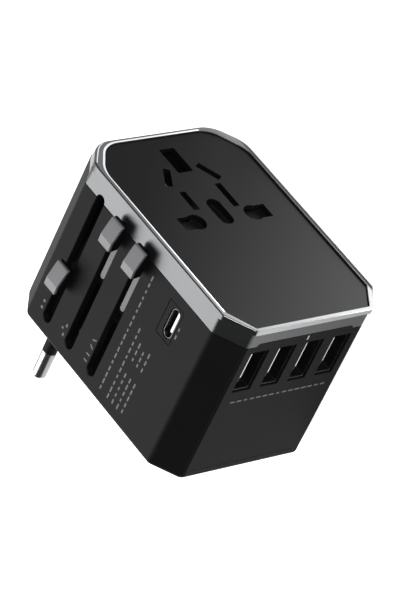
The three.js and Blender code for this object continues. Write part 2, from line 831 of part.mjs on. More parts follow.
add('eu_carriage', euCarriage(), blackShell);
for (const side of [1, -1]) {
  add(`eu_pin_${sideName(side)}`, euPinRod(side), nickel);
  add(`eu_sleeve_${sideName(side)}`, euSleeve(side), innerPlastic);
}
add('uk_carriage', ukCarriage(), blackShell);
add('uk_earth_pin', ukPinBar(ukPin.earthX, middleZ, 7.95, 3.97, ukPin.earthTip, [2.7, 1.3]), brass);
for (const side of [1, -1]) {
  const z = middleZ + side * ukPin.spread;
  const bar = ukPinBar(ukPin.lineX, z, 3.97, 6.35, ukPin.lineTip, [1.3, 1.9]);
  add(`uk_${side > 0 ? 'neutral' : 'line'}_pin`, bar, brass);
}
add('uk_latch_tongue', latchTongue(sliderX.uk, 23), greyCap);
add('us_carriage', usCarriage(), blackShell);
add('us_latch_tongue', latchTongue(sliderX.us, 25), greyCap);
for (const side of [1, -1]) {
  add(`us_turret_${sideName(side)}`, usTurret(side), blackShell);
  add(`us_blade_${sideName(side)}`, usBlade(side), nickel);
}

const starts = { eu: knobStart + euAdvance, uk: knobStart, us: knobStart };
for (const [name, x] of Object.entries(sliderX)) {
  add(`${name}_knob`, knobBase(x, starts[name]), blackShell);
  add(`${name}_knob_cap`, knobCap(x, starts[name]), greyCap);
  add(`${name}_knob_spring`, knobSpring(x, starts[name]), steel);
}

export default adapter;
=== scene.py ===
import math

import bmesh
import bpy
from mathutils import Matrix, Vector
from mathutils.geometry import delaunay_2d_cdt


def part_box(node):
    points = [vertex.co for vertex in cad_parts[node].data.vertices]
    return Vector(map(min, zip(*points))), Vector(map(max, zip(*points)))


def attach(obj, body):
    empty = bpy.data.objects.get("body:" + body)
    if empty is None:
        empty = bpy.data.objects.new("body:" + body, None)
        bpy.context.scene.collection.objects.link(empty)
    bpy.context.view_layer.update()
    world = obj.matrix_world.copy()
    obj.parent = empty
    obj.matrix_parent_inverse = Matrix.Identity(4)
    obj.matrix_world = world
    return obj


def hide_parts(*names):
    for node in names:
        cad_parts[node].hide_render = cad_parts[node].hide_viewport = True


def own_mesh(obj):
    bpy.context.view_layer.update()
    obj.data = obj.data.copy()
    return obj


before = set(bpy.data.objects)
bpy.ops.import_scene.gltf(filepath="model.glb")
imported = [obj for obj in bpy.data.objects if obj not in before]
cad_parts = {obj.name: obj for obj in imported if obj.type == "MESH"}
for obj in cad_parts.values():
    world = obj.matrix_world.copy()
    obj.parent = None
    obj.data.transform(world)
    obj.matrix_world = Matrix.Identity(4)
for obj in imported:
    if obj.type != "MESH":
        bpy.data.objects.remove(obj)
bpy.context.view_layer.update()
mm = 0.001
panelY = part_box("socket_panel")[0][1]  # depths run from the socket panel's face towards the pins
print("frame loaded:", len(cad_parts), "nodes")


def at(x, deep, z):
    return Vector((x * mm, panelY + deep * mm, z * mm))


def span(node):
    # the node's [low, high] in millimetres along X, in depth and along Z
    low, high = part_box(node)
    start = (0, panelY, 0)
    return [((low[i] - start[i]) / mm, (high[i] - start[i]) / mm) for i in range(3)]


def middleOf(node):
    return [sum(reach) / 2 for reach in span(node)]


shellX, shellDeep, shellZ = span("main_shell")
rimX, rimDeep, _ = span("bezel_frame")
panelX, panelDeep, panelZ = span("socket_panel")
middleZ = (shellZ[0] + shellZ[1]) / 2
sliderFace = shellZ[1]
pinFace = shellDeep[1]
usbFace = shellX[0]

casing = {
    "cutX": 7.3,  # corner cuts, along the long side and across it
    "cutZ": 5.9,
    "cornerRadius": 2.4,
    "wall": 2.0,
    "pinEdge": 1.9,
    "skirtBottom": span("bezel_frame")[1][1],
    "skirtCorner": 3.2,
    "skirtUsb": 4.9,
    "skirtUsbHalf": 16.4,
    "skirtThickness": 0.9,
    "arcSteps": 7,
}


def roundedOutline(corners, steps=casing["arcSteps"]):
    # corners are (a, b, radius), anticlockwise for a solid and clockwise for a hole
    ring = []
    for index, (a, b, radius) in enumerate(corners):
        corner = Vector((a, b))
        back = (Vector(corners[index - 1][:2]) - corner).normalized()
        ahead = (Vector(corners[(index + 1) % len(corners)][:2]) - corner).normalized()
        half = back.angle(ahead) / 2
        centre = corner + (back + ahead).normalized() * (radius / math.sin(half))
        start = corner + back * (radius / math.tan(half)) - centre
        turn = 1 if back.cross(ahead) < 0 else -1
        for step in range(steps + 1):
            angle = turn * (math.pi - 2 * half) * step / steps
            ring.append(centre + Matrix.Rotation(angle, 2) @ start)
    return ring


def rectangle(a, b, radius, steps=5):
    return roundedOutline([
        (a[0], b[0], radius), (a[1], b[0], radius), (a[1], b[1], radius), (a[0], b[1], radius),
    ], steps)


def circle(a, b, radius, steps=32):
    angles = [2 * math.pi * i / steps for i in range(steps)]
    return [Vector((a + radius * math.cos(angle), b + radius * math.sin(angle))) for angle in angles]


def roundRing(x, z, radius, deep, steps):
    angles = [2 * math.pi * i / steps for i in range(steps)]
    return [at(x + radius * math.cos(angle), deep, z + radius * math.sin(angle)) for angle in angles]


def hole(outline):
    return list(reversed(outline))


def shifted(outline, distance):
    # moves an outline to its left, which is into the solid for a solid and for a hole alike
    moved = []
    count = len(outline)
    for index, point in enumerate(outline):
        before = point - outline[index - 1]
        after = outline[(index + 1) % count] - point
        first = Vector((-before.y, before.x)).normalized()
        second = Vector((-after.y, after.x)).normalized()
        middle = first + second
        moved.append(point + middle * (2 * distance / max(middle.length_squared, 0.4)))
    return moved


def newObject(name, bm):
    bmesh.ops.remove_doubles(bm, verts=bm.verts, dist=1e-7)
    bmesh.ops.recalc_face_normals(bm, faces=bm.faces)
    mesh = bpy.data.meshes.new(name)
    bm.to_mesh(mesh)
    bm.free()
    obj = bpy.data.objects.new(name, mesh)
    bpy.context.scene.collection.objects.link(obj)
    return obj


def loft(name, rings, loop=False):
    bm = bmesh.new()
    rows = [[bm.verts.new(point) for point in ring] for ring in rings]
    pairs = list(zip(rows, rows[1:]))
    if loop:
        pairs.append((rows[-1], rows[0]))
    for lower, upper in pairs:
        for index in range(len(lower)):
            after = (index + 1) % len(lower)
            bm.faces.new((lower[index], lower[after], upper[after], upper[index]))
    if not loop:
        bm.faces.new(list(reversed(rows[0])))
        bm.faces.new(rows[-1])
    return newObject(name, bm)


def isInside(point, outlines):
    # inside the edge and outside every hole, by counting crossings
    crossings = 0
    for outline in outlines:
        for index, end in enumerate(outline):
            start = outline[index - 1]
            if (start.y > point.y) != (end.y > point.y):
                crossings += point.x < start.x + (point.y - start.y) * (end.x - start.x) / (end.y - start.y)
    return crossings % 2 == 1


def fillFlat(bm, outlines, rows):
    # triangles between the edge and the holes, on the vertices that the rows already have
    points = [point for outline in outlines for point in outline]
    verts = [vert for row in rows for vert in row]
    edges, start = [], 0
    for outline in outlines:
        count = len(outline)
        edges += [(start + i, start + (i + 1) % count) for i in range(count)]
        start += count
    made, _, faces, origins, _, _ = delaunay_2d_cdt(points, edges, [], 1, 1e-5)
    for face in faces:
        middle = sum((made[i] for i in face), Vector((0, 0))) / len(face)
        if isInside(middle, outlines):
            bm.faces.new([verts[origins[i][0]] for i in face])


def plate(name, outlines, place, depths, bevel, steps=3):
    # a flat piece with holes: the first outline is its edge; both faces' edges are rounded by bevel
    bm = bmesh.new()
    low, high = depths
    levels = []
    for step in range(steps + 1):
        angle = math.pi / 2 * step / steps
        levels.append((low + bevel * (1 - math.sin(angle)), bevel * (1 - math.cos(angle))))
    levels = [(deep, inset) for deep, inset in reversed(levels)]
    levels += [(high - (deep - low), inset) for deep, inset in reversed(levels)]
    pieces = []
    for outline in outlines:
        rows = [
            [bm.verts.new(place(point.x, point.y, deep)) for point in shifted(outline, inset)]
            for deep, inset in levels
        ]
        pieces.append(rows)
        for lower, upper in zip(rows, rows[1:]):
            for index in range(len(lower)):
                after = (index + 1) % len(lower)
                bm.faces.new((lower[index], lower[after], upper[after], upper[index]))
    ends = [shifted(outline, bevel) for outline in outlines]
    fillFlat(bm, ends, [rows[0] for rows in pieces])
    fillFlat(bm, ends, [rows[-1] for rows in pieces])
    return newObject(name, bm)


def onFace(a, b, deep):
    return at(a, deep, b)


def onUsbEnd(a, b, deep):
    return at(deep, b, a)


def onSliderSide(a, b, deep):
    return at(a, b, deep)


def lathe(name, x, z, profile, steps=40):
    return loft(name, [roundRing(x, z, radius, deep, steps) for radius, deep in profile])


def blockMesh(name, x, deep, z):
    corners = ((x[0], z[0]), (x[1], z[0]), (x[1], z[1]), (x[0], z[1]))
    return loft(name, [[at(a, level, b) for a, b in corners] for level in deep])


def flatten(obj):
    graph = bpy.context.evaluated_depsgraph_get()
    mesh = bpy.data.meshes.new_from_object(obj.evaluated_get(graph))
    obj.modifiers.clear()
    obj.data = mesh


def carve(obj, tools, operation="DIFFERENCE"):
    for tool in tools:
        modifier = obj.modifiers.new("carve", "BOOLEAN")
        modifier.operation = operation
        modifier.solver = "EXACT"
        modifier.object = tool
    flatten(obj)
    for tool in tools:
        bpy.data.objects.remove(tool)
    return obj


def softenEdges(obj, width, segments=3, angle=30):
    modifier = obj.modifiers.new("soft edges", "BEVEL")
    modifier.width = width * mm
    modifier.segments = segments
    modifier.limit_method = "ANGLE"
    modifier.angle_limit = math.radians(angle)
    modifier.harden_normals = False
    flatten(obj)
    return obj


def flatRegions(bm):
    # faces that lie in one plane with their neighbours share a region; returns each face's region area
    regionArea = {}
    for first in bm.faces:
        if first in regionArea:
            continue
        region, queue = {first}, [first]
        while queue:
            face = queue.pop()
            for edge in face.edges:
                for other in edge.link_faces:
                    if other not in region and other.normal.dot(face.normal) > 0.99995:
                        region.add(other)
                        queue.append(other)
        total = sum(face.calc_area() for face in region)
        regionArea.update((face, total) for face in region)
    return regionArea


def shadeByRegion(mesh, sharp):
    # large flats stay flat and the narrow roundings between them take up all the turning
    bm = bmesh.new()
    bm.from_mesh(mesh)
    regionArea = flatRegions(bm)
    limit = math.cos(math.radians(sharp))
    normals = []
    for face in bm.faces:
        for loop in face.loops:
            total = Vector()
            for other in loop.vert.link_faces:
                if other.normal.dot(face.normal) > limit:
                    total += other.normal * regionArea[other] ** 2
            normals.append(total.normalized() if total.length_squared > 0 else face.normal.copy())
    bm.free()
    mesh.shade_smooth()
    mesh.normals_split_custom_set(normals)


def finishPiece(obj, material, body, nodes=(), sharp=42):
    obj.data.materials.clear()
    obj.data.materials.append(material)
    shadeByRegion(obj.data, sharp)
    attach(obj, body)
    if nodes:
        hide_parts(*nodes)
    return obj


def colour(hexValue, alpha=1.0):
    channels = [int(hexValue[i:i + 2], 16) / 255 for i in (1, 3, 5)]
    return [c / 12.92 if c <= 0.04045 else ((c + 0.055) / 1.055) ** 2.4 for c in channels] + [alpha]


def addNode(tree, kind, settings=None, links=None):
    # links are input: (node, output)
    node = tree.nodes.new(kind)
    for key, value in (settings or {}).items():
        if isinstance(key, str) and hasattr(node, key):
            setattr(node, key, value)
        else:
            node.inputs[key].default_value = value
    for key, (source, output) in (links or {}).items():
        tree.links.new(source.outputs[output], node.inputs[key])
    return node


def startMaterial(name):
    material = bpy.data.materials.new(name)
    material.use_nodes = True
    material.node_tree.nodes.clear()
    return material


def closeMaterial(material, shader, preview):
    output = addNode(material.node_tree, "ShaderNodeOutputMaterial", links={"Surface": (shader, "BSDF")})
    output.is_active_output = True
    material.diffuse_color = preview
    return material


def driftingTone(tree, where, look, noise):
    # a wide soft noise, and the colour that it moves between dark and light
    cloud = addNode(tree, "ShaderNodeTexNoise", {"Scale": 1 / (look["cloud"] * mm), **noise},
                    {"Vector": (where, "Object")})
    tone = addNode(tree, "ShaderNodeMix",
                   {"data_type": "RGBA", 6: colour(look["dark"]), 7: colour(look["light"])},
                   {0: (cloud, "Fac")})
    return cloud, tone


def polishAndBump(tree, look, depth, polishFrom, bumpFrom):
    # roughness and height, each following a pattern given as (node, output)
    smoothest, roughest = look["roughness"]
    polish = addNode(tree, "ShaderNodeMapRange", {"To Min": smoothest, "To Max": roughest},
                     {"Value": polishFrom})
    bump = addNode(tree, "ShaderNodeBump", {"Strength": look["bump"], "Distance": depth * mm},
                   {"Height": bumpFrom})
    return {"Roughness": (polish, "Result"), "Normal": (bump, "Normal")}


def grainedSurface(name, look):
    # a base colour that drifts a little, over a roughness and a bump of the grain's real size
    material = startMaterial(name)
    tree = material.node_tree
    where = addNode(tree, "ShaderNodeTexCoord")
    grain = addNode(tree, "ShaderNodeTexNoise",
                    {"Scale": 1 / (look["grain"] * mm), "Detail": 3.0, "Roughness": 0.6},
                    {"Vector": (where, "Object")})
    cloud, tone = driftingTone(tree, where, look, {"Detail": 4.0, "Roughness": 0.55})
    surface = polishAndBump(tree, look, look["height"], (cloud, "Fac"), (grain, "Fac"))
    shader = addNode(tree, "ShaderNodeBsdfPrincipled",
                     {"Metallic": 0.0, "Specular IOR Level": look["specular"]},
                     {"Base Color": (tone, 2), **surface})
    return closeMaterial(material, shader, colour(look["light"]))


def drawnMetal(name, look):
    # metal drawn or turned along Y: fine lines run that way in both roughness and height
    material = startMaterial(name)
    tree = material.node_tree
    where = addNode(tree, "ShaderNodeTexCoord")
    stretch = addNode(tree, "ShaderNodeMapping", {"Scale": look["stretch"]}, {"Vector": (where, "Object")})
    lines = addNode(tree, "ShaderNodeTexNoise", {"Scale": 1 / (look["line"] * mm), "Detail": 2.0},
                    {"Vector": (stretch, "Vector")})
    _, tone = driftingTone(tree, where, look, {"Detail": 3.0})
    surface = polishAndBump(tree, look, 0.01, (lines, "Fac"), (lines, "Fac"))
    shader = addNode(tree, "ShaderNodeBsdfPrincipled", {"Metallic": 1.0},
                     {"Base Color": (tone, 2), **surface})
    return closeMaterial(material, shader, colour(look["light"]))


def metalFlakePaint(name, look):
    # sprayed silver basecoat: flakes of a few tenths of a millimetre glint at slightly different angles
    material = startMaterial(name)
    tree = material.node_tree
    where = addNode(tree, "ShaderNodeTexCoord")
    flakes = addNode(tree, "ShaderNodeTexVoronoi", {"Scale": 1 / (look["flake"] * mm)},
                     {"Vector": (where, "Object")})
    _, tone = driftingTone(tree, where, look, {"Detail": 3.0})
    surface = polishAndBump(tree, look, 0.01, (flakes, "Distance"), (flakes, "Distance"))
    shader = addNode(tree, "ShaderNodeBsdfPrincipled",
                     {"Metallic": look["metallic"], "Coat Weight": look["coat"], "Coat Roughness": 0.25},
                     {"Base Color": (tone, 2), **surface})
    return closeMaterial(material, shader, colour(look["light"]))


# spark-eroded ABS: matt black with a fine even grain, which breaks reflections into a soft sheen;
# its colour and specular are set well below the usual values, to stay deep black in this bright light
mouldedAbs = grainedSurface("mouldedAbsBlack", {
    "dark": "#050506", "light": "#070708", "roughness": (0.55, 0.6), "grain": 0.22, "cloud": 9.0,
    "bump": 0.1, "height": 0.01, "specular": 0.055,
})
# cast acrylic over black ink: a soft gloss on near black, so it mostly shows what it reflects;
# its specular is set well below the usual value too
glossAcrylic = grainedSurface("glossAcrylicBlack", {
    "dark": "#050506", "light": "#060607", "roughness": (0.24, 0.28), "grain": 3.0, "cloud": 14.0,
    "bump": 0.02, "height": 0.01, "specular": 0.025,
})
# plain polypropylene inside the case: a dull dark grey
innerPlastic = grainedSurface("mouldedPolypropyleneDark", {
    "dark": "#08080a", "light": "#0d0d0f", "roughness": (0.5, 0.62), "grain": 0.4, "cloud": 6.0,
    "bump": 0.1, "height": 0.02, "specular": 0.1,
})
# satin painted thumb pieces: mid grey, a little warmer in sheen than the shell
capPaint = grainedSurface("satinPaintGrey", {
    "dark": "#434345", "light": "#4b4b4d", "roughness": (0.38, 0.48), "grain": 0.18, "cloud": 5.0,
    "bump": 0.1, "height": 0.015, "specular": 0.35,
})
# moulded acetal, smooth and waxy: a dark grey with a low sheen
tonguePlastic = grainedSurface("mouldedAcetalGrey", {
    "dark": "#222224", "light": "#29292b", "roughness": (0.4, 0.5), "grain": 0.3, "cloud": 6.0,
    "bump": 0.08, "height": 0.015, "specular": 0.35,
})
framePaint = metalFlakePaint("sprayedSilverFrame", {
    "dark": "#3f4041", "light": "#474849", "roughness": (0.30, 0.38), "flake": 0.35, "cloud": 12.0,
    "bump": 0.12, "metallic": 0.95, "coat": 0.1,
})
# the band at the USB end gets a lighter copy of the frame's silver: a painted highlight along the band, so
# it stands out from the skirt below it
highlightBandPaint = metalFlakePaint("paintedHighlightBand", {
    "dark": "#8e8f90", "light": "#989999", "roughness": (0.30, 0.38), "flake": 0.35, "cloud": 12.0,
    "bump": 0.12, "metallic": 0.95, "coat": 0.1,
})
# the lip is cut with a diamond tool after painting, so bare bright aluminium shows
brightCut = drawnMetal("diamondCutAluminium", {
    "dark": "#b4b5b7", "light": "#bebfc1", "roughness": (0.14, 0.22), "line": 0.3, "cloud": 8.0,
    "stretch": (1, 1, 1), "bump": 0.05,
})
# barrel-plated pins: bright, with faint drawing lines along the pin
nickelPlate = drawnMetal("nickelPlatedBrass", {
    "dark": "#7f8082", "light": "#8c8d8f", "roughness": (0.2, 0.3), "line": 0.25, "cloud": 5.0,
    "stretch": (1, 0.06, 1), "bump": 0.12,
})
# folded tinplate inside the ports, coloured a dark grey far darker than bare tin: painted shade in the port
# mouths, so only its edges catch light
tinDarkenedForShade = drawnMetal("tinPlateDarkenedAsShade", {
    "dark": "#3c3d3f", "light": "#4a4b4d", "roughness": (0.3, 0.42), "line": 0.2, "cloud": 4.0,
    "stretch": (0.1, 1, 1), "bump": 0.12,
})
# brass drawn along the pin: warm yellow with faint lines lengthwise
drawnBrass = drawnMetal("drawnBrass", {
    "dark": "#b08a4a", "light": "#c39c58", "roughness": (0.24, 0.36), "line": 0.2, "cloud": 6.0,
    "stretch": (1, 0.06, 1), "bump": 0.14,
})
# zinc-plated steel: a cool pale grey with a soft shine
zincSteel = drawnMetal("zincPlatedSteel", {
    "dark": "#9a9ea2", "light": "#b4b8bc", "roughness": (0.26, 0.38), "line": 0.2, "cloud": 3.0,
    "stretch": (1, 1, 1), "bump": 0.1,
})
# a thin gold flash on the contacts: small warm glints
goldFlash = drawnMetal("goldFlashedContact", {
    "dark": "#c79b45", "light": "#d6ad58", "roughness": (0.2, 0.3), "line": 0.15, "cloud": 2.0,
    "stretch": (0.1, 1, 1), "bump": 0.08,
})
# pad-printed ink: flat light grey that sits a few hundredths of a millimetre proud
padInk = grainedSurface("padPrintInkGrey", {
    "dark": "#3e3e3f", "light": "#4a4a4b", "roughness": (0.5, 0.6), "grain": 0.15, "cloud": 2.0,
    "bump": 0.15, "height": 0.01, "specular": 0.2,
})
# natural nylon, nearly white, so it stands out in the dark mouth
whiteNylon = grainedSurface("mouldedNylonWhite", {
    "dark": "#dcdcdc", "light": "#ececec", "roughness": (0.35, 0.45), "grain": 0.3, "cloud": 3.0,
    "bump": 0.05, "height": 0.01, "specular": 0.5,
})
# green solder mask over glass cloth, with a faint weave-like unevenness
solderMask = grainedSurface("glassEpoxyBoard", {
    "dark": "#12301f", "light": "#1b4630", "roughness": (0.25, 0.4), "grain": 0.6, "cloud": 4.0,
    "bump": 0.15, "height": 0.03, "specular": 0.5,
})
# polyester tape wound round the coil: glossy amber
coilTape = grainedSurface("woundPolyesterTape", {
    "dark": "#a67c1e", "light": "#c6982e", "roughness": (0.25, 0.4), "grain": 0.8, "cloud": 3.0,
    "bump": 0.2, "height": 0.05, "specular": 0.5,
})
# heat-shrunk sleeve: dark blue, tight and glossy
shrinkSleeve = grainedSurface("shrinkSleeveBlue", {
    "dark": "#141f33", "light": "#1c2b45", "roughness": (0.2, 0.3), "grain": 1.2, "cloud": 4.0,
    "bump": 0.1, "height": 0.03, "specular": 0.5,
})
# a glazed ceramic tube: off-white and smooth
glazedCeramic = grainedSurface("glazedCeramicTube", {
    "dark": "#d5cfc0", "light": "#e4dfd2", "roughness": (0.15, 0.25), "grain": 1.0, "cloud": 3.0,
    "bump": 0.05, "height": 0.02, "specular": 0.5,
})
# moulded acrylic, unlit: a pale grey bar
clearPipe = grainedSurface("mouldedAcrylicPipe", {
    "dark": "#77797b", "light": "#858789", "roughness": (0.1, 0.2), "grain": 0.6, "cloud": 2.0,
    "bump": 0.05, "height": 0.01, "specular": 0.5,
})
print("materials made")


def bodyOutline(inset, radius, left=shellX[0], flare=0.0, earthRadius=None):
    # a rectangle with cut corners, moved in by inset; flare opens the two cuts at the earth end
    earthRadius = earthRadius or radius
    lowRadius = min(radius, 0.9)  # the long edge by the surface it stands on is crisper
    slant = math.hypot(casing["cutX"], casing["cutZ"])
    normalX = casing["cutZ"] / slant
    normalZ = casing["cutX"] / slant
    cutX = casing["cutX"] - inset * (1 - (1 - normalZ) / normalX)
    cutZ = casing["cutZ"] - inset * (1 - (1 - normalX) / normalZ)
    west, east = left + inset, shellX[1] - inset
    low, high = shellZ[0] + inset, shellZ[1] - inset
    return roundedOutline([
        (east, low + cutZ + flare, earthRadius), (east, high - cutZ - flare, earthRadius),
        (east - cutX - flare, high, earthRadius), (west + cutX, high, radius),
        (west, high - cutZ, radius), (west, low + cutZ, lowRadius),
        (west + cutX, low, radius), (east - cutX - flare, low, earthRadius),
    ])


def panelOutline(grow, shift=(0, 0)):
    low, high = panelZ[0] - grow + shift[1], panelZ[1] + grow + shift[1]
    west, east = panelX[0] - grow + shift[0], panelX[1] + grow + shift[0]
    crisp = 0.8
    return roundedOutline([
        (east, low + 6.6, 8), (east, high - 6.6, 8), (east - 9, high, 9), (west + 7, high, crisp),
        (west, high - 4.8, crisp), (west, low + 4.8, crisp), (west + 7, low, crisp), (east - 9, low, 9),
    ])


def bodyRing(deep, inset, radius=casing["cornerRadius"], left=shellX[0], flare=0.0, earthRadius=None):
    outline = bodyOutline(inset, radius, left, flare, earthRadius)
    return [at(point.x, deep, point.y) for point in outline]


def panelRing(deep, grow, shift=(0, 0)):
    return [at(point.x, deep, point.y) for point in panelOutline(grow, shift)]


sliders = {
    "euX": middleOf("eu_knob")[0],
    "ukX": middleOf("uk_knob")[0],
    "usX": middleOf("us_knob")[0],
    "slotHalf": 1.5,
    "slotFrom": 4.6,
    "slotTo": 46.9,
    "slotChamfer": 0.22,
    "detentDepth": 0.35,  # a small tooth in the British slot that the slider clicks past
    "detentAt": 39.5,
}


def slotOutline(x, detent=False):
    half = sliders["slotHalf"]
    start, end = sliders["slotFrom"] + half, sliders["slotTo"] - half
    outline = []
    for step in range(13):
        angle = math.pi + math.pi * step / 12
        outline.append(Vector((x + half * math.cos(angle), start + half * math.sin(angle))))
    for step in range(13):
        angle = math.pi * step / 12
        outline.append(Vector((x + half * math.cos(angle), end + half * math.sin(angle))))
    if detent:
        notch = sliders["detentAt"]
        outline += [
            Vector((x - half, notch + 0.7)),
            Vector((x - half + sliders["detentDepth"], notch)),
            Vector((x - half, notch - 0.7)),
        ]
    return outline


def flaredTool(name, outline, face, bottom, chamfer):
    # a cutter pushed in from the slider side, wider by the chamfer at the surface
    levels = ((bottom, 0), (face - chamfer, 0), (face, chamfer), (face + 0.5, chamfer + 0.5))
    return loft(name, [
        [at(point.x, point.y, level) for point in shifted(outline, -grow)] for level, grow in levels
    ])


def slotTools():
    bottom, chamfer = sliderFace - casing["wall"] * 1.6, sliders["slotChamfer"]
    outlines = [slotOutline(sliders[key], key == "ukX") for key in ("euX", "ukX", "usX")]
    return [flaredTool("slotTool", outline, sliderFace, bottom, chamfer) for outline in outlines]


def cornerNotchTool(side, gap):
    # at the earth end's cut corners the frame stops short and the shell comes up to meet it
    edge = shellX[1] - casing["cutX"] + gap
    bottom, corner = casing["skirtBottom"], casing["skirtCorner"] + gap
    outline = [
        (edge + 0.1, bottom + 1), (edge + 0.1, bottom), (edge + 0.9, corner), (40, corner), (40, bottom + 1),
    ]
    reach = casing["cutZ"] - gap
    levels = (shellZ[1] - reach, shellZ[1] + 1) if side > 0 else (shellZ[0] - 1, shellZ[0] + reach)
    return loft("cornerNotch", [[at(x, deep, z) for x, deep in outline] for z in levels])


usbEnd = {
    "inner": 3.2,  # the wall behind the port panel, from the outer face
    "recess": 1.7,
    "recessZ": (6.2, 44.6),
    "recessDeep": (3.9, 48.25),
}
screwPosts = [(middleOf(f"cover_screw_{i}")[0], middleOf(f"cover_screw_{i}")[2]) for i in range(1, 5)]
portC = {
    "x": middleOf("usb_c_shell")[0],
    "deep": middleOf("usb_c_shell")[1],
    "plateX": span("usb_c_insert")[0],
    "plateDeep": span("usb_c_insert")[1],
    "mouth": (3.3, 9.0),
}


def makeMainShell():
    wall = casing["wall"]
    radius = casing["cornerRadius"]
    edge = casing["pinEdge"]
    top = panelDeep[1] + 0.2
    rings = [bodyRing(top, 0, radius), bodyRing(pinFace - edge, 0, radius)]
    for step in range(1, 8):
        angle = math.pi / 2 * step / 7
        inset = edge * (1 - math.cos(angle))
        rings.append(bodyRing(pinFace - edge + edge * math.sin(angle), inset, max(radius - inset, 1)))
    rings.append(bodyRing(pinFace - 0.1, wall, 1))
    rings.append(bodyRing(top, wall, 1))
    shell = loft("mainShell", rings, loop=True)
    inside = [blockMesh("usbWall", (usbFace + 0.8, usbFace + usbEnd["inner"]), (7, pinFace - 2.3),
                        (shellZ[0] + casing["cutZ"] + 1, shellZ[1] - casing["cutZ"] - 1))]
    for x, z in screwPosts:
        inside.append(lathe("post", x, z, [(2.2, 36), (2.2, pinFace - 2.3)], 24))
        rib = (z, shellZ[1] - 1) if z > middleZ else (shellZ[0] + 1, z)
        inside.append(blockMesh("rib", (x - 0.7, x + 0.7), (36.1, pinFace - 2.4), rib))
    carve(shell, inside, "UNION")
    skirt, below = casing["skirtThickness"] + 0.15, casing["skirtBottom"] + 0.15
    skirtTool = loft("skirtTool", [
        bodyRing(top - 1, -1, radius), bodyRing(below, -1, radius), bodyRing(below, -0.2, radius),
        bodyRing(casing["skirtBottom"] + 0.05, skirt, radius), bodyRing(top - 1, skirt, radius),
    ], loop=True)
    carve(skirtTool, [cornerNotchTool(side, 0.15) for side in (1, -1)])
    plateX = (portC["plateX"][0] - 0.05, portC["plateX"][1] + 0.05)
    plateDeep = (portC["plateDeep"][0] - 0.05, portC["plateDeep"][1] + 0.05)
    tools = [
        skirtTool,
        blockMesh("usbRecess", (usbFace - 1, usbFace + usbEnd["recess"]), usbEnd["recessDeep"],
                  usbEnd["recessZ"]),
        blockMesh("usbWindow", (usbFace - 1, usbFace + usbEnd["inner"] + 1), (7.3, 21.8),
                  (span("usb_a_shell_4")[2][0] - 0.4, span("usb_a_shell_1")[2][1] + 0.4)),
        flaredTool("plateTool", rectangle(plateX, plateDeep, 0.3), sliderFace, sliderFace - wall - 1, 0.08),
    ]
    tools += [lathe("screwHole", x, z, [(1.3, 37), (1.3, pinFace)], 20) for x, z in screwPosts]
    tools += slotTools()
    carve(shell, tools)
    return finishPiece(shell, mouldedAbs, "body", ["main_shell"])


makeMainShell()
print("main shell made")


rim = {
    "topRadius": 0.35,
    "lipWidth": 0.24,  # the bright cut between the flat top and the panel
    "lipDepth": 0.1,
    "lipShift": (0.16, 0.2),  # the cut runs a little off centre, so the lip is wider on two sides
    "earthRadius": 8.0,  # the two corners at the earth end turn more gently
    "usbBand": 1.15,  # height of the raised band at the USB end
    "usbGroove": 0.12,
}


def highlightSide(spot):
    # bright metal goes on the lip only along the slider side and the earth end, where the highlight falls;
    # elsewhere the lip keeps the frame paint: a painted highlight
    return spot.x / mm > rimX[0] + 9 and spot.z / mm > middleZ - 14


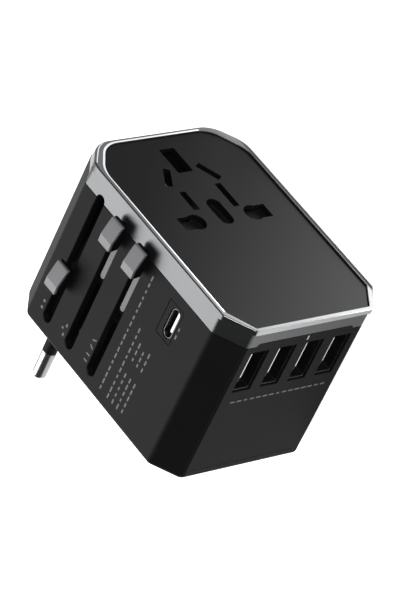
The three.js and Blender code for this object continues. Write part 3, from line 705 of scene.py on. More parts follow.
def makeFrame():
    top = rimDeep[0]
    west, flush = rimX[0], shellX[0]
    bottom = casing["skirtBottom"]
    thick = casing["skirtThickness"]
    crisp = 1.3
    gentle = rim["earthRadius"]
    rings = [
        bodyRing(bottom, thick, crisp),
        bodyRing(bottom, 0.12, crisp + 0.6),
        bodyRing(bottom - 0.12, 0, crisp + 0.7),
        bodyRing(1.75, 0, crisp + 0.5, earthRadius=gentle * 0.7),
        bodyRing(1.6, 0, crisp, flush + rim["usbGroove"], 0, gentle * 0.75),
        bodyRing(1.4, 0, crisp, flush + rim["usbGroove"], 0, gentle * 0.8),
        bodyRing(1.25, 0, crisp, west + 0.2, 0, gentle * 0.85),
        bodyRing(rim["usbBand"] - 0.1, 0, crisp, west, 0, gentle * 0.9),
    ]
    radius = rim["topRadius"]
    for step in range(6):
        angle = math.pi / 2 * step / 5
        inset = radius * (1 - math.cos(angle))
        deep = top + radius * (1 - math.sin(angle))
        rings.append(bodyRing(deep, inset, crisp, west, 1.1 * step / 5, gentle))
    lip = rim["lipWidth"]
    rings += [
        panelRing(top, 0.15 + lip, rim["lipShift"]),
        panelRing(top + rim["lipDepth"], 0.15), panelRing(top + rim["lipDepth"] + 0.08, 0.1),
        panelRing(panelDeep[1] + 0.15, 0.1),
        bodyRing(panelDeep[1] + 0.16, thick, crisp),
    ]
    obj = loft("socketFrame", rings, loop=True)
    usbMiddle = loft("usbMiddle", [
        [at(x, point.y, point.x) for point in roundedOutline([
            (middleZ - casing["skirtUsbHalf"], casing["skirtUsb"], 1.3),
            (middleZ + casing["skirtUsbHalf"], casing["skirtUsb"], 1.3),
            (middleZ + casing["skirtUsbHalf"], bottom + 3, 0.1),
            (middleZ - casing["skirtUsbHalf"], bottom + 3, 0.1),
        ])] for x in (usbFace - 2, usbFace + 5)
    ])
    carve(obj, [cornerNotchTool(1, 0), cornerNotchTool(-1, 0), usbMiddle] + slotTools())
    finishPiece(obj, framePaint, "body", ["bezel_frame"])
    obj.data.materials.append(brightCut)
    obj.data.materials.append(highlightBandPaint)
    for face in obj.data.polygons:
        spot = face.center
        deep = (spot.y - panelY) / mm
        # lip faces take the bright metal only on the two sides where the highlight falls, a painted
        # highlight
        onLip = abs(face.normal.y) > 0.2 and top + 0.01 < deep < top + rim["lipDepth"]
        inner = all(abs(value) < limit for value, limit in (
            (spot.z / mm - middleZ, (panelZ[1] - panelZ[0]) / 2 + 0.4 + lip),
            (spot.x / mm, panelX[1] + 0.4 + lip),
        ))
        # faces on the USB band take the lighter silver, a painted highlight
        usbBand = spot.x / mm < west + 0.2 and face.normal.x < -0.5 and deep < rim["usbBand"]
        if usbBand:
            face.material_index = 2
        elif onLip and inner and face.normal.y < 0 and highlightSide(spot):
            face.material_index = 1
    return obj


makeFrame()
print("socket frame made")


socket = {
    "rowX": 3.6,
    "earthX": 25.8,
    "earth": (4.53, 2.43),
    "bladeX": 11.15,
    "bladeOffset": 6.35,  # the flat blades stand 12.7 mm apart
    "bladeReach": {1: 3.45, -1: 4.4},
    "bladeHalf": 0.95,
    "slantX": 20.2,
    "slantOffset": 6.9,
    "slant": (3.45, 1.0),
    "slantAngle": 30,
    "ovalX": 5.9,
    "oval": (4.75, 2.1),
    "roundOffset": 9.65,
    "roundRadius": 2.75,
    "flatHalf": 2.3,
    "flatEnd": 14.65,
}


def turnedRectangle(a, b, half, angle, radius):
    corners = [(half[0], half[1]), (-half[0], half[1]), (-half[0], -half[1]), (half[0], -half[1])]
    turn = Matrix.Rotation(angle, 2)
    points = [turn @ Vector(corner) for corner in corners]
    return roundedOutline([(a + p.x, b + p.y, radius) for p in points], 3)


def mainsOutline(side):
    # a round hole for round pins that opens into a flat one for British pins
    row, centre, radius = socket["rowX"], socket["roundOffset"], socket["roundRadius"]
    half = socket["flatHalf"]
    start = math.asin(half / radius)
    outline = []
    for step in range(25):
        angle = start + (2 * math.pi - 2 * start) * step / 24
        across = centre + radius * math.cos(angle)
        outline.append(Vector((row + radius * math.sin(angle), middleZ + side * across)))
    outline.append(Vector((row - half, middleZ + side * socket["flatEnd"])))
    outline.append(Vector((row + half, middleZ + side * socket["flatEnd"])))
    return outline


def clockwise(outline):
    area = sum(
        outline[i - 1].x * outline[i].y - outline[i].x * outline[i - 1].y for i in range(len(outline))
    )
    return outline if area < 0 else hole(outline)


def socketHoles():
    holes = [
        rectangle((socket["earthX"] - socket["earth"][0], socket["earthX"] + socket["earth"][0]),
                  (middleZ - socket["earth"][1], middleZ + socket["earth"][1]), 0.3),
        rectangle((socket["ovalX"] - socket["oval"][0], socket["ovalX"] + socket["oval"][0]),
                  (middleZ - socket["oval"][1], middleZ + socket["oval"][1]), 2.05, 8),
    ]
    for side in (1, -1):
        reach, half = socket["bladeReach"][side], socket["bladeHalf"]
        bladeZ = middleZ + side * socket["bladeOffset"]
        holes.append(mainsOutline(side))
        lean = -side * math.radians(socket["slantAngle"])
        holes.append(turnedRectangle(socket["slantX"], middleZ + side * socket["slantOffset"],
                                     socket["slant"], lean, 0.2))
        holes.append(rectangle((socket["bladeX"] - reach, socket["bladeX"] + reach),
                               (bladeZ - half, bladeZ + half), 0.2, 3))
    return [clockwise(outline) for outline in holes]


panelPiece = plate("socketPanel", [panelOutline(0.03)] + socketHoles(), onFace, panelDeep, 0.12)
finishPiece(panelPiece, glossAcrylic, "body", ["socket_panel"])
print("socket panel made")


ports = {
    "centres": [middleOf(f"usb_a_shell_{i}")[2] for i in range(1, 5)],
    "deep": span("usb_a_shell_1")[1],
    "x": span("usb_a_shell_1")[0],
    "half": 2.85,
    "sheet": 0.3,
    "lightZ": middleOf("status_light_pipe")[2],
    "lightDeep": middleOf("status_light_pipe")[1],
    "lightHalf": (0.24, 0.7),
    "sunk": 0.35,  # the cans start a little behind the panel's face
    "springDeep": (8.6, 16.6),
    "springOffset": 2.2,
}


def lightOutline(gap):
    # the light shows as a short upright bar
    z, deep = ports["lightZ"], ports["lightDeep"]
    half, reach = ports["lightHalf"][0] + gap, ports["lightHalf"][1] + gap
    return rectangle((z - half, z + half), (deep - reach, deep + reach), 0.12, 3)


def makePortPanel():
    west = usbFace
    half = casing["skirtUsbHalf"] - 0.1
    top, shoulder = casing["skirtUsb"] + 0.12, casing["skirtBottom"] + 0.12
    bottom = usbEnd["recessDeep"][1] - 0.08
    zLow, zHigh = usbEnd["recessZ"][0] + 0.08, usbEnd["recessZ"][1] - 0.08
    outline = roundedOutline([
        (middleZ - half, top, 0.8), (middleZ + half, top, 0.8), (middleZ + half, shoulder, 0.15),
        (zHigh, shoulder, 0.3), (zHigh, bottom, 0.3), (zLow, bottom, 0.3), (zLow, shoulder, 0.3),
        (middleZ - half, shoulder, 0.15),
    ])
    windows = [
        rectangle((z - ports["half"] - 0.15, z + ports["half"] + 0.15),
                  (ports["deep"][0] - 0.15, ports["deep"][1] + 0.15), 0.25, 3)
        for z in ports["centres"]
    ]
    outlines = [outline] + [clockwise(window) for window in windows] + [clockwise(lightOutline(0.05))]
    obj = plate("portPanel", outlines, onUsbEnd, (west, west + 1.5), 0.05)
    return finishPiece(obj, mouldedAbs, "body", ["usb_panel"])


def makePortShell(index, z):
    # a folded tin can, open to the outside
    front, back = ports["x"][0] + ports["sunk"], ports["x"][1]
    low, high = ports["deep"]
    half, sheet = ports["half"], ports["sheet"]

    def ring(x, inset, radius):
        outline = rectangle((z - half + inset, z + half - inset), (low + inset, high - inset), radius)
        return [at(x, point.y, point.x) for point in outline]

    obj = loft(f"portShell{index}", [
        ring(back, 0.2, 0.5), ring(back - 0.2, 0, 0.6), ring(front + 0.1, 0, 0.6), ring(front, 0.1, 0.55),
        ring(front, sheet - 0.08, 0.4), ring(front + 0.08, sheet, 0.35), ring(back - 0.6, sheet, 0.35),
    ])
    finishPiece(obj, tinDarkenedForShade, "body", [f"usb_a_shell_{index}"])
    return obj


def makeBrightSpring(index, z):
    # the grounding spring along the can's long side: the one part of the port that catches the light
    low, high = ports["springDeep"]
    x, side = ports["x"][0] + ports["sunk"] / 2, z + ports["springOffset"]
    outline = rectangle((side - 0.16, side + 0.16), (low, high), 0.1, 3)
    obj = plate(f"portSpring{index}", [outline], onUsbEnd, (x, x + 3.2), 0.06, 2)
    return finishPiece(obj, brightCut, "body")


def makePortTongue(index):
    x, deep, height = span(f"usb_a_tongue_{index}")
    outline = rectangle(height, deep, 0.3, 4)
    obj = plate(f"portTongue{index}", [outline], onUsbEnd, x, 0.25)
    return finishPiece(obj, tonguePlastic, "body", [f"usb_a_tongue_{index}"])


makePortPanel()
for number, centre in enumerate(ports["centres"], 1):
    makePortShell(number, centre)
    makeBrightSpring(number, centre)
    makePortTongue(number)
lightPiece = plate("statusLight", [lightOutline(0)], onUsbEnd, (usbFace + 0.02, usbFace + 1.5), 0.06)
finishPiece(lightPiece, clearPipe, "body", ["status_light_pipe"])
print("USB end made")


def pillOutline(half, reach, centre):
    (x, deep), radius = centre, half * 0.98
    return rectangle((x - half, x + half), (deep - reach, deep + reach), radius, 8)


def makeSidePort():
    centre = (portC["x"], portC["deep"])
    halfX, halfDeep = portC["mouth"][0] / 2, portC["mouth"][1] / 2
    frameOutline = rectangle(portC["plateX"], portC["plateDeep"], 0.35, 4)
    mouth = clockwise(pillOutline(halfX + 0.02, halfDeep + 0.02, centre))
    depths = (sliderFace - 1.6, sliderFace - 0.02)
    insert = plate("sidePortPlate", [frameOutline, mouth], onSliderSide, depths, 0.14)
    finishPiece(insert, mouldedAbs, "body", ["usb_c_insert"])
    top, bottom = span("usb_c_shell")[2][1], span("usb_c_shell")[2][0]

    def ring(z, inset):
        return [at(p.x, p.y, z) for p in pillOutline(halfX - 0.05 - inset, halfDeep - 0.05 - inset, centre)]

    can = loft("sidePortCan", [
        ring(bottom, 0.1), ring(bottom + 0.1, 0), ring(top - 0.05, 0), ring(top, 0.05),
        ring(top, 0.22), ring(top - 0.05, 0.27), ring(bottom + 0.8, 0.27),
    ])
    finishPiece(can, tinDarkenedForShade, "body", ["usb_c_shell"])
    x, deep, z = span("usb_c_tongue")
    tongue = plate("sidePortTongue", [rectangle(x, deep, 0.3, 4)], onSliderSide, z, 0.12)
    finishPiece(tongue, whiteNylon, "body", ["usb_c_tongue"])


makeSidePort()
print("side port made")


thumb = {
    "half": 2.3,
    "profile": [(0.0, 2.7), (1.3, 3.1), (5.3, 4.1), (7.7, 4.0)],  # distance from the socket end, height
    "capThickness": 0.75,
    "overhang": 0.35,
    "lift": 0.75,
}


def makeThumbPiece(name):
    x = middleOf(f"{name}_knob")[0]
    start = span(f"{name}_knob")[1][0]
    half = thumb["half"]
    profile = thumb["profile"]

    def band(label, top, bottom, wide):
        outline = [(start + a, sliderFace + b) for a, b in top]
        outline += [(start + a, sliderFace + b) for a, b in reversed(bottom)]
        return loft(label, [[at(side, deep, z) for deep, z in outline] for side in (x - wide, x + wide)])

    capBottom = [(a, b - thumb["capThickness"]) for a, b in profile]
    cap = band(f"{name}ThumbCap", profile, capBottom, half)
    softenEdges(cap, 0.12, 2, 40)
    finishPiece(cap, capPaint, f"{name}_button", [f"{name}_knob_cap"], 8)
    overhang = thumb["overhang"]
    seam = [(a, b - thumb["capThickness"] - 0.02) for a, b in profile]
    seam[0] = (-overhang, seam[0][1] - 0.1)
    seam[-1] = (seam[-1][0] + overhang, seam[-1][1])
    foot = [(0.5 - overhang, thumb["lift"]), (7.2 + overhang, thumb["lift"])]
    base = band(f"{name}ThumbBase", seam, foot, half - 0.04)
    softenEdges(base, 0.25, 3, 30)
    stemLow = span(f"{name}_knob")[2][0]
    stem = blockMesh(f"{name}Stem", (x - 1.1, x + 1.1), (start + 3.6, start + 7.2),
                     (stemLow, sliderFace + 1.4))
    softenEdges(stem, 0.15, 2, 30)
    carve(base, [stem], "UNION")
    finishPiece(base, mouldedAbs, f"{name}_button", [f"{name}_knob"])


spring = {"turns": 3.5, "wire": 0.15, "coil": 0.85, "travel": 0.7}


def makeSpring(name):
    # a coil of round wire between the carriage and the thumb piece's stem, carried with the thumb piece
    spanX, spanDeep, (low, high) = span(f"{name}_knob_spring")
    centreX, centreDeep = sum(spanX) / 2, sum(spanDeep) / 2
    wire = spring["wire"]
    count = round(spring["turns"] * 24)
    rings = []
    for step in range(count + 1):
        angle = 2 * math.pi * spring["turns"] * step / count
        height = low + wire + (high - low - 2 * wire) * step / count
        ring = []
        for side in range(8):
            around = 2 * math.pi * side / 8
            reach = spring["coil"] + wire * math.cos(around)
            ring.append(at(centreX + reach * math.cos(angle), centreDeep + reach * math.sin(angle),
                           height + wire * math.sin(around)))
        rings.append(ring)
    coil = loft(f"{name}ThumbSpring", rings)
    finishPiece(coil, zincSteel, f"{name}_button", [f"{name}_knob_spring"], 60)
    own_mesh(coil)


def makeLatchTongue(name):
    tongueX, tongueDeep, tongueZ = span(f"{name}_latch_tongue")
    outline = roundedOutline([
        (tongueX[0], tongueDeep[0], 0.3), (tongueX[1], tongueDeep[0], 0.3),
        (tongueX[1], tongueDeep[1], 0.88), (tongueX[0], tongueDeep[1], 0.88),
    ])
    tongue = plate(f"{name}LatchTongue", [outline], onSliderSide, tongueZ, 0.15)
    finishPiece(tongue, tonguePlastic, f"{name}_slider", [f"{name}_latch_tongue"])


for name in ("eu", "uk", "us"):
    makeThumbPiece(name)
for name in ("eu", "uk", "us"):
    makeSpring(name)
for name in ("uk", "us"):
    makeLatchTongue(name)
print("thumb pieces made")


pins = {
    "euRadius": 2.0,
    "euBare": 9.0,
    "euCore": 1.2,
    "collar": 0.12,  # a turned groove where the bare tip meets the sleeve
    "ukShoulder": 26.2,  # depth where a British pin widens from its thin tail
    "bladeReach": 3.175,  # half of a blade's breadth, and of its thickness
    "bladeHalf": 0.75,
    "bladeGap": 0.4,
    "twist": 30,  # degrees
}


def quarterDome(radius, flat, tip, steps=10):
    # the rounded end of a round pin, which keeps a small flat of its own
    bulge = radius - flat
    angles = [math.pi / 2 * i / steps for i in range(steps + 1)]
    return [(flat + bulge * math.cos(angle), tip - bulge + bulge * math.sin(angle)) for angle in angles]


def makeEuPin(label):
    node, sleeveNode = f"eu_pin_{label}", f"eu_sleeve_{label}"
    x, _, z = middleOf(sleeveNode)
    back, tip = span(node)[1]
    radius, core = pins["euRadius"], pins["euCore"]
    neck = tip - pins["euBare"]
    groove = radius - pins["collar"]
    profile = [
        (0.2, back), (1.8, back), (1.9, back + 0.1), (1.9, back + 0.9), (1.8, back + 1), (core, back + 1),
        (core, neck - 0.1), (groove, neck - 0.1), (groove, neck + 0.15), (radius, neck + 0.3),
    ] + quarterDome(radius, 0.5, tip)
    pin = lathe(f"euPin_{label}", x, z, profile, 56)
    finishPiece(pin, nickelPlate, "eu_slider", [node], 45)
    low, high = span(sleeveNode)[1][0], neck - 0.12
    rings = [(core + 0.1, low), (radius - 0.1, low), (radius, low + 0.1), (radius, high - 0.12),
             (radius - 0.12, high), (core + 0.1, high)]
    rows = [roundRing(x, z, reach, deep, 56) for reach, deep in rings]
    sleeve = loft(f"euSleeve_{label}", rows, loop=True)
    finishPiece(sleeve, mouldedAbs, "eu_slider", [sleeveNode], 45)


def makeUkPin(node):
    spanX, spanDeep, spanZ = span(node)
    front = pins["ukShoulder"]
    centreX, centreZ = sum(spanX) / 2, sum(spanZ) / 2
    halfX, halfZ = (spanX[1] - spanX[0]) / 2, (spanZ[1] - spanZ[0]) / 2
    thin = (2.7, 1.3) if node == "uk_earth_pin" else (1.3, 1.9)
    tip = spanDeep[1]

    def ring(deep, a, b, radius):
        outline = rectangle((centreX - a, centreX + a), (centreZ - b, centreZ + b), radius)
        return [at(point.x, deep, point.y) for point in outline]

    pin = loft("ukPin_" + node.split("_")[1], [
        ring(spanDeep[0], *thin, 0.3), ring(front, *thin, 0.3), ring(front, halfX, halfZ, 0.35),
        ring(tip - 1.3, halfX, halfZ, 0.35), ring(tip - 0.9, halfX - 0.18, halfZ - 0.18, 0.35),
        ring(tip - 0.2, halfX - 0.75, halfZ - 0.75, 0.3), ring(tip, halfX - 1, halfZ - 1, 0.25),
    ])
    finishPiece(pin, drawnBrass, "uk_slider", [node])


def makeUsBlade(label):
    spanX, spanDeep, spanZ = span(f"us_blade_{label}")
    low, high = spanDeep
    outline = roundedOutline([
        (spanX[0], low, 0.4), (spanX[1], low, 0.4), (spanX[1], high - 1.4, 1.0),
        (spanX[1] - 1.4, high, 1.0), (spanX[0] + 1.4, high, 1.0), (spanX[0], high - 1.4, 1.0),
    ])
    eye = clockwise(circle(sum(spanX) / 2, high - 4.4, 1.5, 28))
    blade = plate(f"usBlade_{label}", [outline, eye], onSliderSide, spanZ, 0.2)
    finishPiece(blade, nickelPlate, f"us_{label}_prong", [f"us_blade_{label}"])


for label in ("left", "right"):
    makeEuPin(label)
    makeUsBlade(label)
for node in ("uk_earth_pin", "uk_line_pin", "uk_neutral_pin"):
    makeUkPin(node)
print("pins made")


def rearOpenings():
    openings = []
    for label in ("left", "right"):
        x, _, z = middleOf(f"eu_sleeve_{label}")
        openings.append(circle(x, z, pins["euRadius"] + 0.25, 36))
    for node in ("uk_earth_pin", "uk_line_pin", "uk_neutral_pin"):
        spanX, _, spanZ = span(node)
        openings.append(rectangle((spanX[0] - 0.3, spanX[1] + 0.3), (spanZ[0] - 0.3, spanZ[1] + 0.3), 0.5))
    for side, label in ((1, "left"), (-1, "right")):
        x, _, z = middleOf(f"us_blade_{label}")
        openings.append(bladeSweep(x, z, side))
    return [clockwise(outline) for outline in openings]


def bladeSweep(x, z, side):
    # the opening that a blade needs as it twists from upright to a slant
    reach, half = pins["bladeReach"] + pins["bladeGap"], pins["bladeHalf"] + pins["bladeGap"]
    steps = 6
    swing = -side * math.radians(pins["twist"])
    outer = math.hypot(reach, half)
    lean = math.atan2(half, reach)
    outline = []
    for end in (0, math.pi):
        first, last = -lean, abs(swing) + lean
        for step in range(steps + 1):
            outline.append((outer, end + first + (last - first) * step / steps))
        # the waist between the two ends, where the blade's flanks cross
        waist = half / math.cos(abs(swing) / 2)
        outline.append((waist, end + abs(swing) / 2 + math.pi / 2))
    turn = 1 if swing > 0 else -1
    return [Vector((x + r * math.cos(a), z + turn * r * math.sin(a))) for r, a in outline]


def makeRearCover():
    coverDeep = span("rear_cover")[1]
    edge = bodyOutline(casing["wall"] + 0.12, 1.2)
    cover = plate("rearCover", [edge] + rearOpenings(), onFace, coverDeep, 0.2)
    carve(cover, [lathe("counterbore", x, z, [(2.25, coverDeep[1] - 1.15), (2.25, coverDeep[1] + 1)], 28)
                  for x, z in screwPosts])
    carve(cover, [lathe("screwHole", x, z, [(1.25, coverDeep[0] - 1), (1.25, coverDeep[1] - 1)], 20)
                  for x, z in screwPosts])
    return finishPiece(cover, mouldedAbs, "body", ["rear_cover"])


makeRearCover()
print("rear cover made")


def newTree(name, inputs):
    tree = bpy.data.node_groups.new(name, "GeometryNodeTree")
    tree.interface.new_socket("Geometry", in_out="INPUT", socket_type="NodeSocketGeometry")
    for label, kind in inputs:
        tree.interface.new_socket(label, in_out="INPUT", socket_type=kind)
    tree.interface.new_socket("Geometry", in_out="OUTPUT", socket_type="NodeSocketGeometry")
    return tree


def closeTree(tree, start, spread):
    # every tree ends in real meshes with their material on
    real = addNode(tree, "GeometryNodeRealizeInstances", links={"Geometry": (spread, "Instances")})
    finish = addNode(tree, "GeometryNodeSetMaterial",
                     links={"Geometry": (real, "Geometry"), "Material": (start, "Material")})
    addNode(tree, "NodeGroupOutput", links={"Geometry": (finish, "Geometry")})
    return tree


def runTree(name, tree, values, points):
    # puts the tree on a mesh of bare points, and turns what it makes into a plain mesh
    mesh = bpy.data.meshes.new(name)
    mesh.from_pydata(points, [], [])
    obj = bpy.data.objects.new(name, mesh)
    bpy.context.scene.collection.objects.link(obj)
    modifier = obj.modifiers.new(name, "NODES")
    modifier.node_group = tree
    sockets = [item for item in tree.interface.items_tree if item.in_out == "INPUT"]
    identifiers = {item.name: item.identifier for item in sockets}
    for label, value in values.items():
        modifier[identifiers[label]] = value
    flatten(obj)
    bm = bmesh.new()
    bm.from_mesh(obj.data)
    bmesh.ops.remove_doubles(bm, verts=bm.verts, dist=1e-7)
    bmesh.ops.recalc_face_normals(bm, faces=bm.faces)
    bm.to_mesh(obj.data)
    bm.free()
    return obj


def boxTree(name):
    # a small box on every point, with its length drawn at random between two limits
    tree = newTree(name, [("Size", "NodeSocketVector"), ("Shortest", "NodeSocketFloat"),
                          ("Longest", "NodeSocketFloat"), ("Seed", "NodeSocketInt"),
                          ("Material", "NodeSocketMaterial")])
    start = addNode(tree, "NodeGroupInput")
    cube = addNode(tree, "GeometryNodeMeshCube", links={"Size": (start, "Size")})
    length = addNode(tree, "FunctionNodeRandomValue", {"data_type": "FLOAT"},
                     {2: (start, "Shortest"), 3: (start, "Longest"), "Seed": (start, "Seed")})
    scale = addNode(tree, "ShaderNodeCombineXYZ", {"X": 1.0, "Z": 1.0}, {"Y": (length, 1)})
    spread = addNode(tree, "GeometryNodeInstanceOnPoints", links={
        "Points": (start, "Geometry"), "Instance": (cube, "Mesh"), "Scale": (scale, "Vector"),
    })
    return closeTree(tree, start, spread)


boxes = boxTree("boxOnEachPoint")

printing = {
    "thickness": 0.04,  # ink stands just proud of the plastic
    "line": 0.5,  # stroke height of a printed row
    "word": 1.55,
    "gap": 2.15,  # word pitch
    # rows on the slider side: x, then the depths each stretch runs between
    "rows": [(-4.0, [(8.4, 47.4)]), (-7.35, [(22.8, 47.4)]), (-9.5, [(26.0, 33.0), (36.2, 47.4)]),
             (-11.6, [(27.0, 33.0), (36.2, 47.2)]), (-13.6, [(25.8, 33.0), (36.2, 47.0)]),
             (-18.5, [(12.4, 17.2)])],
    "usbRow": (24.9, (8.6, 41.4)),
    "seed": 7,
}


def printedRows():
    points = []
    for x, stretches in printing["rows"]:
        for low, high in stretches:
            count = max(1, round((high - low) / printing["gap"]))
            step = (high - low) / count
            height = sliderFace + printing["thickness"] / 2
            points += [at(x, low + step * (i + 0.5), height) for i in range(count)]
    size = Vector((printing["line"], printing["word"], printing["thickness"])) * mm
    return runTree("printedRows", boxes, {
        "Size": size, "Shortest": 0.55, "Longest": 1.15, "Seed": printing["seed"], "Material": padInk,
    }, points)


def printedUsbRow():
    deep, (low, high) = printing["usbRow"]
    count = round((high - low) / printing["gap"])
    step = (high - low) / count
    # laid along Y for the tree, then stood up against the USB end
    points = [Vector((0, (low + step * (i + 0.5)) * mm, 0)) for i in range(count)]
    size = Vector((printing["line"], printing["word"], printing["thickness"])) * mm
    obj = runTree("printedUsbRow", boxes, {
        "Size": size, "Shortest": 0.55, "Longest": 1.15, "Seed": printing["seed"] + 4, "Material": padInk,
    }, points)
    # X turns to depth, Y to height and the ink's thickness to X
    obj.data.transform(Matrix((
        (0, 0, 1, (usbFace - printing["thickness"] / 2) * mm),
        (1, 0, 0, panelY + deep * mm),
        (0, 1, 0, 0),
        (0, 0, 0, 1),
    )))
    return obj


def pinSymbols():
    # each slot's plug drawn as its own pins: two dots, three bars, two bars over two slanted ones
    ink = (sliderFace, sliderFace + printing["thickness"])
    shapes = []
    euX, ukX, usX = sliders["euX"] + 2.9, sliders["ukX"] + 2.9, sliders["usX"] + 2.9
    shapes += [circle(euX, deep, 0.45, 20) for deep in (42.5, 44.6)]
    shapes += [rectangle((ukX - 0.3, ukX + 0.3), (deep - 0.5, deep + 0.5), 0.1, 3)
               for deep in (42.0, 45.0)]
    shapes += [rectangle((ukX + 0.7, ukX + 1.4), (43.2, 43.8), 0.1, 3)]
    shapes += [rectangle((usX - 0.7, usX + 0.7), (deep - 0.22, deep + 0.22), 0.1, 3)
               for deep in (42.6, 44.6)]
    shapes += [turnedRectangle(usX, deep, (0.75, 0.22), lean, 0.1)
               for deep, lean in ((37.8, 0.5), (40.0, -0.5))]
    for index, shape in enumerate(shapes):
        anticlockwise = hole(clockwise(shape))
        symbol = plate(f"pinSymbol{index + 1}", [anticlockwise], onSliderSide, ink, 0.01, 1)
        finishPiece(symbol, padInk, "body")


finishPiece(printedRows(), padInk, "body")
finishPiece(printedUsbRow(), padInk, "body")
pinSymbols()

contacts = {
    "pitch": 2.5,
    "size": (6.5, 1.1, 0.12),  # along the tongue, across it, thickness
    "sideCount": 8,
    "sidePitch": 0.6,
    "sideSize": (0.1, 0.34, 3.6),
}


def placePads(name, size, points):
    pads = runTree(name, boxes, {
        "Size": Vector(size) * mm, "Shortest": 1.0, "Longest": 1.0, "Seed": 1, "Material": goldFlash,
    }, points)
    finishPiece(pads, goldFlash, "body")


def contactPads():
    points = []
    for index in range(1, 5):
        x, deep, z = span(f"usb_a_tongue_{index}")
        middle = sum(deep) / 2
        padX = x[0] + 0.9 + contacts["size"][0] / 2
        points += [at(padX, middle + contacts["pitch"] * (i - 1.5), z[0] - 0.03) for i in range(4)]
    placePads("contactPads", contacts["size"], points)
    x, deep, z = span("usb_c_tongue")
    middle = sum(deep) / 2
    padZ = z[1] - 0.7 - contacts["sideSize"][2] / 2
    points = [at(side, middle + contacts["sidePitch"] * (i - 3.5), padZ)
              for side in (x[0] - 0.02, x[1] + 0.02) for i in range(contacts["sideCount"])]
    placePads("sideContactPads", contacts["sideSize"], points)


contactPads()


def coverScrews():
    # one screw is turned and given its cross, then a tree puts it on the four posts
    low, high = span("cover_screw_1")[1]
    screw = lathe("screwPattern", 0, 0, [
        (0.2, low), (0.9, low + 0.6), (1.1, low + 1.2), (1.1, high - 0.95), (2.0, high - 0.95),
        (2.0, high - 0.3), (1.85, high - 0.1), (1.5, high),
    ], 32)
    long, narrow = (-1.1, 1.1), (-0.22, 0.22)
    cross = [blockMesh("cross", long, (high - 0.5, high + 1), narrow),
             blockMesh("cross", narrow, (high - 0.52, high + 1), long)]
    carve(screw, cross)
    tree = newTree("screwOnEachPost", [("Screw", "NodeSocketObject"), ("Material", "NodeSocketMaterial")])
    start = addNode(tree, "NodeGroupInput")
    source = addNode(tree, "GeometryNodeObjectInfo", links={"Object": (start, "Screw")})
    spread = addNode(tree, "GeometryNodeInstanceOnPoints",
                     links={"Points": (start, "Geometry"), "Instance": (source, "Geometry")})
    closeTree(tree, start, spread)
    screws = runTree("coverScrews", tree, {"Screw": screw, "Material": zincSteel},
                     [Vector((x * mm, 0, z * mm)) for x, z in screwPosts])
    bpy.data.objects.remove(screw)
    finishPiece(screws, zincSteel, "body", [f"cover_screw_{i}" for i in range(1, 5)])


coverScrews()
print("repeated pieces made")


keptFinishes = [
    (innerPlastic, ["contact_carrier", "safety_shutter", "eu_carriage", "uk_carriage", "us_carriage",
                    "us_turret_left", "us_turret_right"]),
    (tinDarkenedForShade, ["line_contact", "neutral_contact", "earth_contact"]),
    (solderMask, ["main_board", "usb_c_board"]),
    (coilTape, ["transformer"]),
    (shrinkSleeve, ["capacitor_1", "capacitor_2"]),
    (glazedCeramic, ["fuse"]),
]
for material, nodes in keptFinishes:
    for node in nodes:
        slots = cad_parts[node].data.materials
        slots.clear()
        slots.append(material)
print("kept pieces finished")


studio = {
    "floor": "#f2f2f2",
    "air": "#595959",
    "centre": (0.0, 0.0, 0.026),
    # the key stands beside the camera, so its shadow falls behind the object
    "key": {"from": (-0.498, -0.572, 0.652), "strength": 5.5, "softness": 6},
    # the softbox over the far side gives the slider side and the silver skirt their sheen
    "softbox": {"from": (0.498, 0.572, 0.652), "distance": 0.9, "size": 0.75, "brightness": 7.5},
    # a graded light card lying in front of the socket panel, brightest towards the USB end
    "card": {"alongX": (-45, 55), "alongY": (-125, -26.2), "brightness": 13.5, "grade": 1.5},
}


def makeFloor():
    bm = bmesh.new()
    bmesh.ops.create_grid(bm, x_segments=1, y_segments=1, size=12)
    floor = newObject("floor", bm)
    material = startMaterial("paleFloorPaint")
    shader = addNode(material.node_tree, "ShaderNodeBsdfPrincipled",
                     {"Base Color": colour(studio["floor"]), "Roughness": 0.9, "Specular IOR Level": 0.1})
    closeMaterial(material, shader, colour(studio["floor"]))
    floor.data.materials.append(material)


def placeLight(name, light, towards, distance):
    obj = bpy.data.objects.new(name, light)
    obj.location = Vector(studio["centre"]) + towards * distance
    obj.rotation_euler = towards.to_track_quat("Z", "Y").to_euler()
    bpy.context.scene.collection.objects.link(obj)
    return obj


def makeLights():
    key = studio["key"]
    sun = bpy.data.lights.new("keyLight", "SUN")
    sun.energy = key["strength"]
    sun.angle = math.radians(key["softness"])
    placeLight("keyLight", sun, Vector(key["from"]).normalized(), 1.5)
    box = studio["softbox"]
    area = bpy.data.lights.new("softbox", "AREA")
    area.shape = "SQUARE"
    area.size = box["size"]
    area.energy = box["brightness"] * math.pi * box["size"] ** 2
    placeLight("softbox", area, Vector(box["from"]).normalized(), box["distance"])
    makeCard()
    world = bpy.data.worlds.new("studioAir")
    world.use_nodes = True
    world.node_tree.nodes["Background"].inputs["Color"].default_value = colour(studio["air"])
    bpy.context.scene.world = world
    bpy.context.scene.view_settings.view_transform = "Standard"


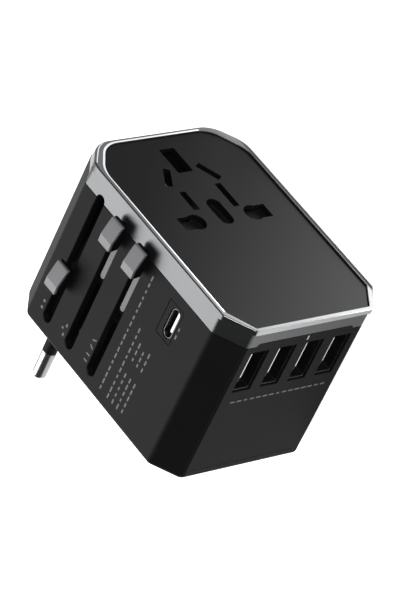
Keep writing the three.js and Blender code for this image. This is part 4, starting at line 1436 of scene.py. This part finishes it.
def makeCard():
    card = studio["card"]
    (west, east), (near, far) = card["alongX"], card["alongY"]
    light = bpy.data.lights.new("lightCard", "AREA")
    light.shape = "RECTANGLE"
    light.size, light.size_y = (east - west) * mm, (far - near) * mm
    light.energy = card["brightness"] * math.pi * light.size * light.size_y
    light.use_nodes = True
    nodes, links = light.node_tree.nodes, light.node_tree.links
    place = nodes.new("ShaderNodeNewGeometry")
    split = nodes.new("ShaderNodeSeparateXYZ")
    grade = nodes.new("ShaderNodeMath")
    grade.operation = "POWER"
    grade.inputs[1].default_value = card["grade"]
    links.new(place.outputs["Parametric"], split.inputs["Vector"])
    links.new(split.outputs["X"], grade.inputs[0])
    links.new(grade.outputs["Value"], nodes["Emission"].inputs["Strength"])
    obj = bpy.data.objects.new("lightCard", light)
    # it faces straight up
    middle = ((west + east) / 2 * mm, (near + far) / 2 * mm, 0.001)
    obj.matrix_world = Matrix.Translation(middle) @ Matrix.Rotation(math.pi, 4, "Y")
    obj.visible_camera = False
    bpy.context.scene.collection.objects.link(obj)


view = {
    "azimuth": 41.04,  # from +Y towards +X
    "elevation": 40.69,
    "roll": -100.7,
    "distance": 0.9278,
    "target": (-0.00665, -0.0076, 0.0328),
    "lens": 221.4,
}


def makeCamera():
    azimuth, elevation, roll = (math.radians(view[key]) for key in ("azimuth", "elevation", "roll"))
    level = Vector((math.sin(azimuth), math.cos(azimuth), 0))
    forward = level * math.cos(elevation) - Vector((0, 0, 1)) * math.sin(elevation)
    right = forward.cross(Vector((0, 0, 1))).normalized()
    up = right.cross(forward)
    tilted = right * math.cos(roll) + up * math.sin(roll)
    upright = up * math.cos(roll) - right * math.sin(roll)
    camera = bpy.data.cameras.new("camera")
    camera.lens = view["lens"]
    camera.sensor_width = 36
    camera.clip_start = 0.05
    camera.clip_end = 50
    obj = bpy.data.objects.new("camera", camera)
    place = Matrix((tilted, upright, -forward)).transposed().to_4x4()
    place.translation = Vector(view["target"]) - forward * view["distance"]
    obj.matrix_world = place
    bpy.context.scene.collection.objects.link(obj)
    bpy.context.scene.camera = obj


makeFloor()
makeLights()
makeCamera()
print("stage set")
